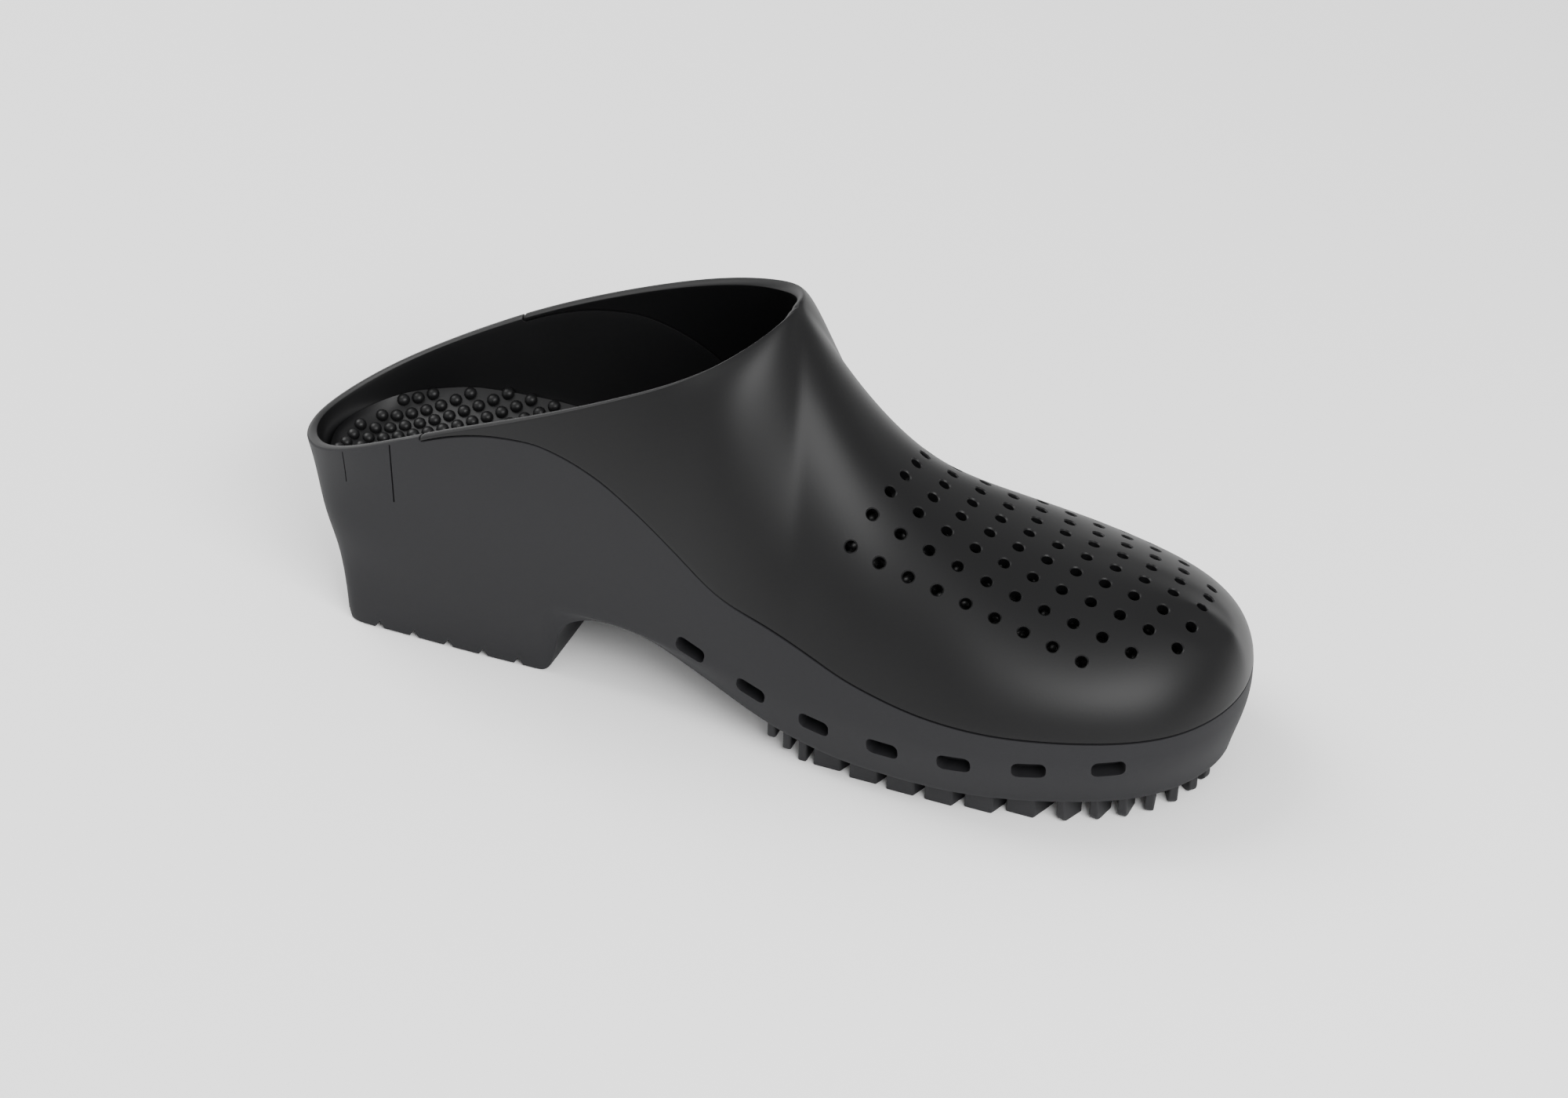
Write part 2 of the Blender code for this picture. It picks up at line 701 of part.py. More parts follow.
def make_slots(collection):
    """Return the cutters of the vent slots: rounded bars that point into the wall."""
    work = bmesh.new()
    for side in (-1, 1):
        centres, outs = [], []
        for share, height in SLOTS:
            k, v = section_at(side, share * LENGTH, height * COLLAR_HEIGHT)
            centres.append(surface(side, k, v))
            level = surface_normal(side, k, v) * np.array([1.0, 1.0, 0.0])
            outs.append(level / np.linalg.norm(level))
        for i, (centre, out) in enumerate(zip(centres, outs)):
            along = centres[min(i + 1, len(centres) - 1)] - centres[max(i - 1, 0)]
            along = along - out * along.dot(out)
            along = along / np.linalg.norm(along)
            rise = np.cross(out, along)
            half, high = SLOT_LENGTH / 2 - SLOT_CORNER, SLOT_HEIGHT / 2 - SLOT_CORNER
            loop = []
            for end, level, first in ((1, -1, -90), (1, 1, 0), (-1, 1, 90), (-1, -1, 180)):
                for step in range(3):
                    turn = math.radians(first + 45 * step)
                    loop.append(along * (end * half + SLOT_CORNER * math.cos(turn))
                                + rise * (level * high + SLOT_CORNER * math.sin(turn)))
            rings = [[work.verts.new(centre + out * depth + p) for p in loop] for depth in (0.004, -SLOT_DEPTH)]
            work.faces.new(rings[0])
            work.faces.new(rings[1][::-1])
            for a in range(len(loop)):
                b = (a + 1) % len(loop)
                work.faces.new((rings[0][a], rings[0][b], rings[1][b], rings[1][a]))
    return finish_bmesh(work, "slots", collection)


def top_point(tree, x, y):
    """Return the highest point of the upper at a plan position."""
    hit = tree.ray_cast(Vector((x, y, 1.0)), Vector((0, 0, -1)))
    return hit[0]


def make_holes(upper, collection):
    """Return the cutters of the air holes, each square to the upper's surface."""
    tree = BVHTree.FromObject(upper, bpy.context.evaluated_depsgraph_get())
    work = bmesh.new()
    for row_x, count in zip(pattern_xs("holes"), HOLE_ROWS):
        for j in range(count):
            column = j - (count - 1) / 2
            x = row_x - HOLE_LAG * (column / 4)**2
            y = column * HOLE_PITCH_Y
            centre = top_point(tree, x, y)
            ahead, behind = top_point(tree, x + 0.002, y), top_point(tree, x - 0.002, y)
            left, right = top_point(tree, x, y + 0.002), top_point(tree, x, y - 0.002)
            normal = (ahead - behind).cross(left - right).normalized()
            place = Matrix.Translation(centre - normal * 0.0015) @ normal.to_track_quat("Z", "X").to_matrix().to_4x4()
            bmesh.ops.create_cone(work, cap_ends=True, segments=8, radius1=HOLE_DIAMETER / 2,
                                  radius2=HOLE_DIAMETER / 2, depth=HOLE_REACH + 0.002, matrix=place)
    return finish_bmesh(work, "holes", collection)


def combine(thing, other, operation):
    """Add an exact boolean step to a piece."""
    step = thing.modifiers.new(other.name, "BOOLEAN")
    step.operation = operation
    step.object = other
    step.solver = "EXACT"


def centre_on_base(pieces, cutters):
    """Move everything so that the middle of the shoe's base is at the origin."""
    graph = bpy.context.evaluated_depsgraph_get()
    corners = [piece.evaluated_get(graph).matrix_world @ Vector(corner)
               for piece in pieces for corner in piece.evaluated_get(graph).bound_box]
    middle = [(min(c[axis] for c in corners) + max(c[axis] for c in corners)) / 2 for axis in (0, 1)]
    for thing in list(pieces) + list(cutters):
        thing.location.x -= middle[0]
        thing.location.y -= middle[1]


def material(name, colour, roughness):
    """Return a plain material for a moulded piece."""
    made = bpy.data.materials.new(name)
    made.use_nodes = True
    shader = made.node_tree.nodes["Principled BSDF"]
    shader.inputs["Base Color"].default_value = (*colour, 1.0)
    shader.inputs["Roughness"].default_value = roughness
    shader.inputs["Metallic"].default_value = 0.0
    made.diffuse_color = (*colour, 1.0)
    return made


def main():
    """Build the clog in its own collection."""
    for thing in list(bpy.data.objects):
        bpy.data.objects.remove(thing, do_unlink=True)
    parts = bpy.data.collections.new("clog")
    bpy.context.scene.collection.children.link(parts)
    cutters = bpy.data.collections.new("clog cutters")
    bpy.context.scene.collection.children.link(cutters)
    sole = make_sole(parts)
    upper = make_upper(parts)
    footbed = make_footbed(parts)
    combine(sole, make_bars(cutters), "UNION")
    combine(sole, make_fins(cutters), "UNION")
    combine(sole, make_grooves(cutters), "DIFFERENCE")
    combine(sole, make_slots(cutters), "DIFFERENCE")
    combine(upper, make_holes(upper, cutters), "DIFFERENCE")
    sole.data.materials.append(material("sole rubber", (0.045, 0.045, 0.050), 0.62))
    upper.data.materials.append(material("upper rubber", (0.018, 0.018, 0.019), 0.42))
    footbed.data.materials.append(material("footbed rubber", (0.022, 0.022, 0.024), 0.60))
    centre_on_base(parts.objects, cutters.objects)


main()
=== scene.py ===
# %% [markdown]
# # A moulded rubber clog
#
# This lesson dresses a left clog: a deep rubber sole with a block heel, a thin shell
# over the foot with rows of air holes, and a footbed covered in massage nubs.  The
# real shoe is injection moulded, so nearly all of it is one smooth skin of rubber
# with crisp cuts in it.  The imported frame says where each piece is.  The finer
# meshes built here stand for its pieces and follow the same guide lines.

# %% Load the frame
import math

import bmesh
import bpy
import numpy as np
from mathutils import Matrix, Vector
from mathutils.bvhtree import BVHTree


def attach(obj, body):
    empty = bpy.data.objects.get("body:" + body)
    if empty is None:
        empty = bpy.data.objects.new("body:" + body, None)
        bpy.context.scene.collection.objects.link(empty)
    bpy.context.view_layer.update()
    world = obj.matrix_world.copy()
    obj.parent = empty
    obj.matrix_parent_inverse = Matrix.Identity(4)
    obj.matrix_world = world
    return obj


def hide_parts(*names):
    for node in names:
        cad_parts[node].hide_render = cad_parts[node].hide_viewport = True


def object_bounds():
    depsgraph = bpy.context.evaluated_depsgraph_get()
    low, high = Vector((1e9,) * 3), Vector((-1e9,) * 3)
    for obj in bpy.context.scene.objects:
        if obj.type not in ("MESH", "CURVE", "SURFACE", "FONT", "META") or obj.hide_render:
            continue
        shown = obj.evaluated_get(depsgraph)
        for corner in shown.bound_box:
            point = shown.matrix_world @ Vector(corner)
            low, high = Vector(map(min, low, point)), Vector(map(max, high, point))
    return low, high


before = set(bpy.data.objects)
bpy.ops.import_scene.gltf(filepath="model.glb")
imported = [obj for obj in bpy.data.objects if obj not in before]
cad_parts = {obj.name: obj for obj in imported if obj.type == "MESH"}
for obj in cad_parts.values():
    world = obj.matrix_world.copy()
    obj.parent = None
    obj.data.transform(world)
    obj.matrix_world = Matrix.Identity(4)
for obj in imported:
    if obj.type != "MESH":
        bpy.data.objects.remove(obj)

cad_low, cad_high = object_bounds()
print("frame from", [round(c, 4) for c in cad_low], "to", [round(c, 4) for c in cad_high])

# %% [markdown]
# ## Sizes
#
# The lengths are in metres and repeat the sizes that the solids were built from.  A
# maker would read them off a last, the foot-shaped form that a shoe is drawn on.

# %% Sizes of the shoe
LENGTH = 0.277
BALL_WIDTH = 0.104
COLLAR_HEIGHT = 0.1165
PLATE_HEIGHT = 0.0080
ARCH_HEIGHT = 0.0224
WALL = 0.0030
PIECE_GAP = 0.0002
FOOTBED_HEIGHT = 0.0355
FOOTBED_RISE = 0.0100
FOOTBED_INSET = 0.0085
FOOTBED_THICKNESS = 0.0030
FOOTBED_GAP = 0.0003
DISH_WIDTH = 0.040
print("a shoe", LENGTH * 1000, "mm long, with walls of", WALL * 1000, "mm")

# %% [markdown]
# ## Guide lines
#
# A shoe has no flat faces to measure from, so its shape is kept as four guide lines
# that run round it: the sole's lower edge, the widest line, the collar and the crest.
# A row of a table is one cross section, from the heel back to the toe front.  Lengths
# are shares of the sizes above, so the shoe can be made longer or wider as a whole.

# %% Guide lines round the shoe
EDGE = [  # name, x, near, far, lean outwards going up
    ("heel back",   0.079, 0.000, 0.000, 0.10),
    ("heel corner", 0.085, 0.270, 0.270, 0.06),
    ("heel side",   0.130, 0.318, 0.316, 0.02),
    ("heel middle", 0.222, 0.320, 0.316, 0.02),
    ("heel front",  0.316, 0.316, 0.310, 0.02),
    ("waist back",  0.406, 0.325, 0.315, 0.10),
    ("waist front", 0.500, 0.372, 0.360, 0.20),
    ("ball back",   0.597, 0.435, 0.412, 0.15),
    ("ball",        0.700, 0.468, 0.434, 0.12),
    ("toes",        0.796, 0.450, 0.428, 0.15),
    ("toe corner",  0.894, 0.356, 0.362, 0.20),
    ("toe side",    0.958, 0.220, 0.240, 0.20),
    ("toe front",   0.987, 0.000, 0.000, 0.20),
]
GIRTH = [  # name, x, near, far, height, lean outwards going up
    ("heel back",   0.045, 0.000, 0.000, 0.223, 0.50),
    ("heel corner", 0.060, 0.238, 0.238, 0.223, 0.36),
    ("heel side",   0.120, 0.314, 0.312, 0.223, 0.12),
    ("heel middle", 0.212, 0.332, 0.330, 0.223, 0.05),
    ("heel front",  0.310, 0.344, 0.340, 0.223, 0.03),
    ("waist back",  0.402, 0.360, 0.350, 0.223, 0.02),
    ("waist front", 0.496, 0.402, 0.392, 0.223, 0.01),
    ("ball back",   0.596, 0.455, 0.432, 0.216, 0.00),
    ("ball",        0.700, 0.492, 0.456, 0.211, 0.00),
    ("toes",        0.800, 0.478, 0.453, 0.211, 0.00),
    ("toe corner",  0.904, 0.386, 0.397, 0.216, 0.00),
    ("toe side",    0.972, 0.240, 0.264, 0.221, 0.00),
    ("toe front",   1.000, 0.000, 0.000, 0.227, 0.00),
]
COLLAR = [  # name, x, near, far, height, arrival angle in degrees
    ("heel back",   0.000, 0.000, 0.000, 0.370, 108),
    ("heel corner", 0.031, 0.188, 0.188, 0.407, 104),
    ("heel side",   0.096, 0.296, 0.296, 0.489, 95),
    ("heel middle", 0.195, 0.341, 0.341, 0.618, 88),
    ("heel front",  0.300, 0.352, 0.352, 0.736, 82),
    ("waist back",  0.395, 0.323, 0.318, 0.838, 72),
    ("waist front", 0.475, 0.223, 0.226, 0.924, 50),
    ("throat",      0.524, 0.000, 0.000, 1.000, 0),
]
CREST = [  # name, x, side, height
    ("throat",      0.524, 0.000, 1.000),
    ("instep",      0.595, -0.040, 0.779),
    ("vamp",        0.661, -0.060, 0.642),
    ("toes",        0.760, -0.045, 0.544),
    ("toe box",     0.868, -0.030, 0.498),
    ("toe end",     0.951, -0.010, 0.453),
]
FULLNESS = [  # name, near side handle, near crown handle, far side handle, far crown handle
    ("heel back",   0.35, 0.35, 0.35, 0.35),
    ("heel corner", 0.35, 0.35, 0.35, 0.35),
    ("heel side",   0.35, 0.35, 0.35, 0.35),
    ("heel middle", 0.35, 0.35, 0.35, 0.35),
    ("heel front",  0.38, 0.38, 0.38, 0.38),
    ("waist back",  0.40, 0.38, 0.38, 0.36),
    ("waist front", 0.36, 0.32, 0.30, 0.28),
    ("ball back",   0.26, 0.28, 0.12, 0.20),
    ("ball",        0.28, 0.36, 0.10, 0.31),
    ("toes",        0.44, 0.41, 0.36, 0.46),
    ("toe corner",  0.56, 0.45, 0.50, 0.48),
    ("toe side",    0.58, 0.46, 0.52, 0.46),
    ("toe front",   0.58, 0.55, 0.58, 0.55),
]
SECTIONS = len(GIRTH) - 1
THROAT = len(COLLAR) - 1
print("guide lines with", SECTIONS + 1, "sections, the collar closes at number", THROAT)

# %% [markdown]
# Two more lines are seen from the side.  The parting line is where the two halves of
# the mould meet, and it divides the sole from the upper.  The arch is the sole's lower
# edge: it drops to the floor at the heel and stays a tread's height over it in front.

# %% Lines seen from the side
SEAM = [  # x, height
    (0.180, 0.586),
    (0.203, 0.615),
    (0.225, 0.637),
    (0.264, 0.663),
    (0.306, 0.673),
    (0.335, 0.662),
    (0.376, 0.626),
    (0.404, 0.583),
    (0.461, 0.483),
    (0.511, 0.403),
    (0.562, 0.365),
    (0.608, 0.331),
    (0.654, 0.299),
    (0.740, 0.270),
    (0.821, 0.260),
    (0.897, 0.259),
    (0.965, 0.259),
    (1.000, 0.259),
]
ARCH = [  # x, height as a share of ARCH_HEIGHT
    (0.306, 0.00),
    (0.312, 0.03),
    (0.317, 0.12),
    (0.321, 0.34),
    (0.325, 0.62),
    (0.338, 0.84),
    (0.362, 0.96),
    (0.391, 1.00),
    (0.427, 0.95),
    (0.463, 0.82),
    (0.500, 0.69),
    (0.537, 0.56),
    (0.567, 0.48),
    (0.602, 0.41),
    (0.645, 0.36),
]
FOOTBED = [  # x, height, rise, inset
    (0.00, 1.000, 0.50, 0.47),
    (0.08, 1.000, 0.70, 0.47),
    (0.14, 1.000, 0.95, 0.49),
    (0.22, 1.000, 1.00, 0.53),
    (0.30, 1.000, 0.78, 0.59),
    (0.38, 0.985, 0.46, 0.73),
    (0.50, 0.907, 0.22, 0.94),
    (0.60, 0.817, 0.12, 1.00),
    (0.70, 0.761, 0.10, 1.00),
    (0.85, 0.746, 0.10, 1.00),
    (1.00, 0.755, 0.10, 1.00),
]
print("lines seen from the side:", len(SEAM) + len(ARCH) + len(FOOTBED), "rows")

# %% [markdown]
# ## From guide lines to a surface
#
# A smooth curve goes through each guide line's rows.  A section is then two arcs that
# meet at the widest line: one up from the edge, and one on to the collar or crest.  A
# subdivision cage pulled by hand could give such a form too, but with functions the
# holes, slots and nubs can all ask the same surface where it is.


# %% Smooth curves through the rows
def spline_slopes(points, closed):
    """Return the slopes of a smooth curve through the points."""
    count = len(points)
    system = np.zeros((count, count))
    target = np.zeros_like(points)
    for i in range(count):
        if closed or 0 < i < count - 1:
            system[i, (i - 1) % count] += 1
            system[i, i] += 4
            system[i, (i + 1) % count] += 1
            target[i] = 3 * (points[(i + 1) % count] - points[(i - 1) % count])
        else:
            other = 1 if i == 0 else i - 1
            system[i, i], system[i, other] = 2, 1
            target[i] = 3 * (points[max(i, other)] - points[min(i, other)])
    return np.linalg.solve(system, target)


class Curve:
    """A smooth curve through rows of numbers, one unit of its parameter a row."""

    def __init__(self, rows, closed=False):
        self.points = np.asarray(rows, float)
        self.closed = closed
        self.slopes = spline_slopes(self.points, closed)

    def __call__(self, s):
        count = len(self.points)
        s = s % count if self.closed else s
        i = min(int(math.floor(s)), count - 1 if self.closed else count - 2)
        t, j = s - i, (i + 1) % count
        return ((2 * t**3 - 3 * t**2 + 1) * self.points[i] + (t**3 - 2 * t**2 + t) * self.slopes[i]
                + (3 * t**2 - 2 * t**3) * self.points[j] + (t**3 - t**2) * self.slopes[j])


def round_curve(rows, extra):
    """Return the closed curve along the near rows and back along the far rows."""
    near = [(row[1] * LENGTH, -row[2] * BALL_WIDTH, *extra(row)) for row in rows]
    far = [(row[1] * LENGTH, row[3] * BALL_WIDTH, *extra(row)) for row in rows]
    return Curve(near + far[-2:0:-1], closed=True)


edge_curve = round_curve(EDGE, lambda row: (row[4],))
girth_curve = round_curve(GIRTH, lambda row: (row[4] * COLLAR_HEIGHT, row[5]))
collar_curve = round_curve(COLLAR, lambda row: (row[4] * COLLAR_HEIGHT, math.radians(row[5])))
crest_curve = Curve([(row[1] * LENGTH, row[2] * BALL_WIDTH, row[3] * COLLAR_HEIGHT) for row in CREST])
fullness_rows = [row[1:3] for row in FULLNESS] + [row[3:5] for row in FULLNESS[-2:0:-1]]
fullness_curve = Curve(fullness_rows, closed=True)
print("curves made; the girth line is", len(girth_curve.points), "points round")

# %% [markdown]
# A place on the shoe has a side, a section number k and a share v up the section.  The
# functions below turn those three into a point, so every later step can name a place.


# %% The surface of the shoe
def on_side(curve, side, k, last=SECTIONS):
    """Return the closed curve's values at section k, near for side -1 and far for +1."""
    return curve(k if side < 0 else 2 * last - k)


def table_value(rows, x, column=1):
    """Return a column's value at x, without overshooting the rows."""
    xs = [row[0] for row in rows]
    ys = [row[column] for row in rows]
    if x <= xs[0]:
        return ys[0]
    if x >= xs[-1]:
        return ys[-1]
    rises = [(ys[i + 1] - ys[i]) / (xs[i + 1] - xs[i]) for i in range(len(xs) - 1)]
    slopes = [rises[0]]
    for before, after in zip(rises, rises[1:]):
        slopes.append(0.0 if before * after <= 0 else 2 * before * after / (before + after))
    slopes.append(rises[-1])
    i = max(j for j in range(len(xs) - 1) if xs[j] <= x)
    step = xs[i + 1] - xs[i]
    t = (x - xs[i]) / step
    return ((2 * t**3 - 3 * t**2 + 1) * ys[i] + (t**3 - 2 * t**2 + t) * step * slopes[i]
            + (3 * t**2 - 2 * t**3) * ys[i + 1] + (t**3 - t**2) * step * slopes[i + 1])


def edge_height(x):
    """Return the height of the sole's lower edge."""
    share = x / LENGTH
    if share <= ARCH[0][0]:
        return 0.0
    return max(table_value(ARCH, share) * ARCH_HEIGHT, PLATE_HEIGHT if share > 0.55 else 0.0)


def seam_height(x):
    """Return the height of the parting line."""
    return table_value(SEAM, x / LENGTH) * COLLAR_HEIGHT


def outward(side, k):
    """Return the level direction out of the girth line."""
    step = on_side(girth_curve, side, k + 0.01) - on_side(girth_curve, side, k - 0.01)
    along = step[:2] / np.linalg.norm(step[:2])
    return np.array([along[1], -along[0], 0.0]) * (1 if side < 0 else -1)


def top_of_section(side, k):
    """Return the collar or crest point of a section and its arrival angle."""
    if k <= THROAT:
        row = on_side(collar_curve, side, k, THROAT)
        return row[:3], row[3]
    return crest_curve(k - THROAT), 0.0


def crest_fall(k):
    """Return the crest's height change for one unit of x."""
    s = max(k - THROAT, 0.0)
    low = crest_curve(max(s - 0.02, 0.0))
    high = crest_curve(min(s + 0.02, len(CREST) - 1))
    return (high[2] - low[2]) / (high[0] - low[0])


def bezier(points, t):
    """Return the point at t on a cubic curve."""
    u = 1 - t
    return u**3 * points[0] + 3 * u * u * t * points[1] + 3 * u * t * t * points[2] + t**3 * points[3]


section_arcs = {}


def arcs(side, k):
    """Return the lower and upper arc of a section, each as four control points."""
    if (side, k) in section_arcs:
        return section_arcs[side, k]
    up = np.array([0.0, 0.0, 1.0])
    out = outward(side, k)
    girth_row = on_side(girth_curve, side, k)
    girth, girth_lean = girth_row[:3], girth_row[3]
    edge_row = on_side(edge_curve, side, k)
    foot = np.array([edge_row[0], edge_row[1], edge_height(edge_row[0])])
    rise = 0.35 * (girth[2] - foot[2])
    low = [foot, foot + rise * (up + edge_row[2] * out), girth - rise * (up + girth_lean * out), girth]
    top, angle = top_of_section(side, k)
    side_full, crown_full = on_side(fullness_curve, side, k)
    level = np.array([top[0] - girth[0], top[1] - girth[1], 0.0])
    reach = np.linalg.norm(level)
    toward = level / reach if reach > 1e-6 else -out
    if k <= THROAT:
        turn = math.sin(min(angle, math.pi / 2))
        toward = toward * (1 - turn) - out * turn
        toward = toward / np.linalg.norm(toward)
    rise = top[2] - girth[2]
    fall = crest_fall(k) * toward[0]
    arrive = toward * math.cos(angle) + up * (math.sin(angle) + fall * max(math.cos(angle), 0.0))
    arrive = arrive / np.linalg.norm(arrive)
    crown = crown_full * (reach * abs(math.cos(angle)) + rise * abs(math.sin(angle)))
    high = [girth, girth + side_full * rise * (up + girth_lean * out), top - crown * arrive, top]
    section_arcs[side, k] = (low, high)
    return low, high


def surface(side, k, v):
    """Return the shoe's outer surface: v is 0 at the edge, 1 at the girth and 2 at the top."""
    low, high = arcs(side, k)
    return bezier(low, v) if v <= 1 else bezier(high, v - 1)


print("inner side at the ball, mm:", [round(float(c) * 1000, 1) for c in surface(-1, 8, 1)])

# %% [markdown]
# Walls, holes and edges need more than points: the way out of the skin, the share at
# which a section reaches a height, and a share moved by a distance.  Heights have no
# formula to turn round, so they are found by halving an interval again and again.


# %% Normals and heights on the surface
def halved(low, high, still_before):
    """Return the place between low and high where a condition stops holding."""
    for _ in range(24):
        middle = (low + high) / 2
        if still_before(middle):
            low = middle
        else:
            high = middle
    return (low + high) / 2


def surface_normal(side, k, v):
    """Return the outward unit normal of the surface."""
    if 0.02 <= k <= SECTIONS - 0.02:
        along = surface(side, k + 0.02, v) - surface(side, k - 0.02, v)
    else:
        along = np.array([0.0, 1.0, 0.0])
    low, high = max(v - 0.02, 0.0), min(v + 0.02, 2.0)
    normal = np.cross(along, surface(side, k, high) - surface(side, k, low))
    normal = normal / np.linalg.norm(normal)
    if k > SECTIONS - 0.02:
        return normal * (1 if normal[0] > 0 else -1)
    if k < 0.02:
        return normal * (1 if normal[0] < 0 else -1)
    return normal * (1 if side < 0 else -1)


def height_share(side, k, height, high=2.0):
    """Return the v at which a section reaches a height, or high if it stays lower."""
    if surface(side, k, high)[2] <= height:
        return high
    return halved(0.0, high, lambda v: surface(side, k, v)[2] < height)


def seam_share(side, k):
    """Return the v of the parting line on a section."""
    v = 1.3
    for _ in range(4):
        v = height_share(side, k, seam_height(surface(side, k, v)[0]))
    return v


def shifted_share(side, k, v, distance):
    """Return v moved along the section by a distance."""
    if v >= 2.0 and distance > 0:
        return v
    speed = np.linalg.norm(surface(side, k, min(v + 0.01, 2.0)) - surface(side, k, v - 0.01))
    return v + distance / speed * (min(v + 0.01, 2.0) - v + 0.01)


# The nick is the section at which the parting line leaves the collar.
NICK = halved(2.0, 4.0, lambda k: on_side(collar_curve, -1, k, THROAT)[0] < SEAM[0][0] * LENGTH)
print("the parting line meets the collar at section", round(NICK, 3))

# %% [markdown]
# ## Placing a mesh in the frame
#
# The guide lines count x from the back of the heel, and the frame has its origin in
# the middle of the base.  Each mesh is moved once, when it is made, by the distance
# between the guide lines' own box and the frame's.

# %% Meshes in the frame
near_reach = min(girth_curve(k)[1] for k in np.linspace(0, SECTIONS, 400))
heel_reach = min(collar_curve(k)[0] for k in np.linspace(-0.5, 0.5, 41))
TO_FRAME = Vector((cad_low.x - heel_reach, cad_low.y - near_reach, 0.0))
print("guide lines to frame, mm:", [round(c * 1000, 2) for c in TO_FRAME])


SAME_POINT = 1e-6


def mesh_object(name, vertices, faces, finishes=None):
    """Return an object in the frame, shaded smooth, from points of the guide lines."""
    mesh = bpy.data.meshes.new(name)
    mesh.from_pydata([tuple(float(c) for c in p) for p in vertices], [], faces)
    if finishes:
        mesh.materials.append(None)
        mesh.materials.append(None)
        mesh.polygons.foreach_set("material_index", finishes)
    work = bmesh.new()
    work.from_mesh(mesh)
    bmesh.ops.remove_doubles(work, verts=work.verts, dist=SAME_POINT)
    bmesh.ops.dissolve_degenerate(work, edges=work.edges, dist=SAME_POINT)
    bmesh.ops.recalc_face_normals(work, faces=work.faces)
    bmesh.ops.translate(work, verts=work.verts, vec=TO_FRAME)
    for face in work.faces:
        face.smooth = True
    work.to_mesh(mesh)
    work.free()
    thing = bpy.data.objects.new(name, mesh)
    bpy.context.scene.collection.objects.link(thing)
    return thing


def object_from(work, name):
    """Return an object in the frame from a bmesh built on the guide lines."""
    bmesh.ops.recalc_face_normals(work, faces=work.faces)
    bmesh.ops.translate(work, verts=work.verts, vec=TO_FRAME)
    for face in work.faces:
        face.smooth = True
    mesh = bpy.data.meshes.new(name)
    work.to_mesh(mesh)
    work.free()
    thing = bpy.data.objects.new(name, mesh)
    bpy.context.scene.collection.objects.link(thing)
    return thing


def cut(piece, tool):
    """Cut a tool out of a piece for good, and throw the tool away."""
    step = piece.modifiers.new("cut", "BOOLEAN")
    step.operation = "DIFFERENCE"
    step.object = tool
    step.solver = "EXACT"
    graph = bpy.context.evaluated_depsgraph_get()
    mesh = bpy.data.meshes.new_from_object(piece.evaluated_get(graph))
    piece.modifiers.clear()
    piece.data = mesh
    bpy.data.objects.remove(tool)
    piece.data.set_sharp_from_angle(angle=math.radians(38))
    print(piece.name, "has", len(mesh.polygons), "faces after the cuts")


def add_prism(work, outlines):
    """Add a closed solid through outlines of points, with a cap on each end."""
    rings = [[work.verts.new(point) for point in outline] for outline in outlines]
    work.faces.new(rings[0])
    work.faces.new(rings[-1][::-1])
    for a, b in zip(rings, rings[1:]):
        for i in range(len(a)):
            j = (i + 1) % len(a)
            work.faces.new((a[i], a[j], b[j], b[i]))


def ring_faces(first, rows, columns, closed):
    """Return the faces of a grid of vertices stored row by row."""
    faces = []
    for i in range(rows - 1):
        for j in range(columns if closed else columns - 1):
            a, b = first + i * columns + j, first + i * columns + (j + 1) % columns
            faces.append((a, b, b + columns, a + columns))
    return faces


# %% [markdown]
# ## The upper
#
# The upper is a shell of one thickness.  Its outer sheet lies over the parting line,
# and its inner sheet follows at the wall's thickness.  Together they make one closed
# cage, and a subdivision rounds its rim the way a mould's polished edge does.  A row
# of the cage lies close to each edge, because that holds the rounding to a small
# radius.  Without them the whole edge would go soft.

# %% The upper's shell
UPPER_STEP = 0.125
UPPER_ROWS = 16
RIM_HOLD = 0.0008
SEAM_HOLD = 0.0002
NICK_GAP = 0.005  # in sections, from the nick to each piece's end
NICK_HOLD = 0.020


def inside(side, k, v):
    """Return the point of the wall's inner side under a point of the surface."""
    normal = surface_normal(side, k, v)
    if v >= 2.0 and k >= THROAT:
        normal = normal + surface_normal(-side, k, v)
        normal = normal / np.linalg.norm(normal)
    return surface(side, k, v) - WALL * normal


upper_sections = [NICK + NICK_GAP, NICK + NICK_HOLD]
upper_sections += [k for k in np.arange(0, SECTIONS + 0.01, UPPER_STEP) if k > NICK + 0.1]
loops = []
for side in (-1, 1):
    for k in upper_sections:
        low = shifted_share(side, k, seam_share(side, k), PIECE_GAP / 2)
        hold = shifted_share(side, k, low, SEAM_HOLD)
        rim = shifted_share(side, k, 2.0, -RIM_HOLD) if k < THROAT else 2.0 - 1 / UPPER_ROWS
        shares = [low] + [hold + (rim - hold) * j / (UPPER_ROWS - 2) for j in range(UPPER_ROWS - 1)] + [2.0]
        outer = [surface(side, k, v) for v in shares]
        inner = [inside(side, k, v) for v in shares]
        loops.append(outer + inner[::-1])
width = len(loops[0])
faces = []
for half in (0, 1):
    for i in range(len(upper_sections) - 1):
        for j in range(width):
            if j == UPPER_ROWS and upper_sections[i] >= THROAT:
                continue
            a, e = (half * len(upper_sections) + i) * width, (j + 1) % width
            faces.append((a + j, a + width + j, a + width + e, a + e))
    first = half * len(upper_sections) * width
    for j in range(UPPER_ROWS):
        faces.append((first + j, first + j + 1, first + width - 2 - j, first + width - 1 - j))
upper = mesh_object("upper_shell", [p for loop in loops for p in loop], faces)

# %% [markdown]
# The two halves of the sheet meet along the crest.  A few rounds of averaging there
# take out the last trace of a ridge, as a polisher does along a mould's centre line.

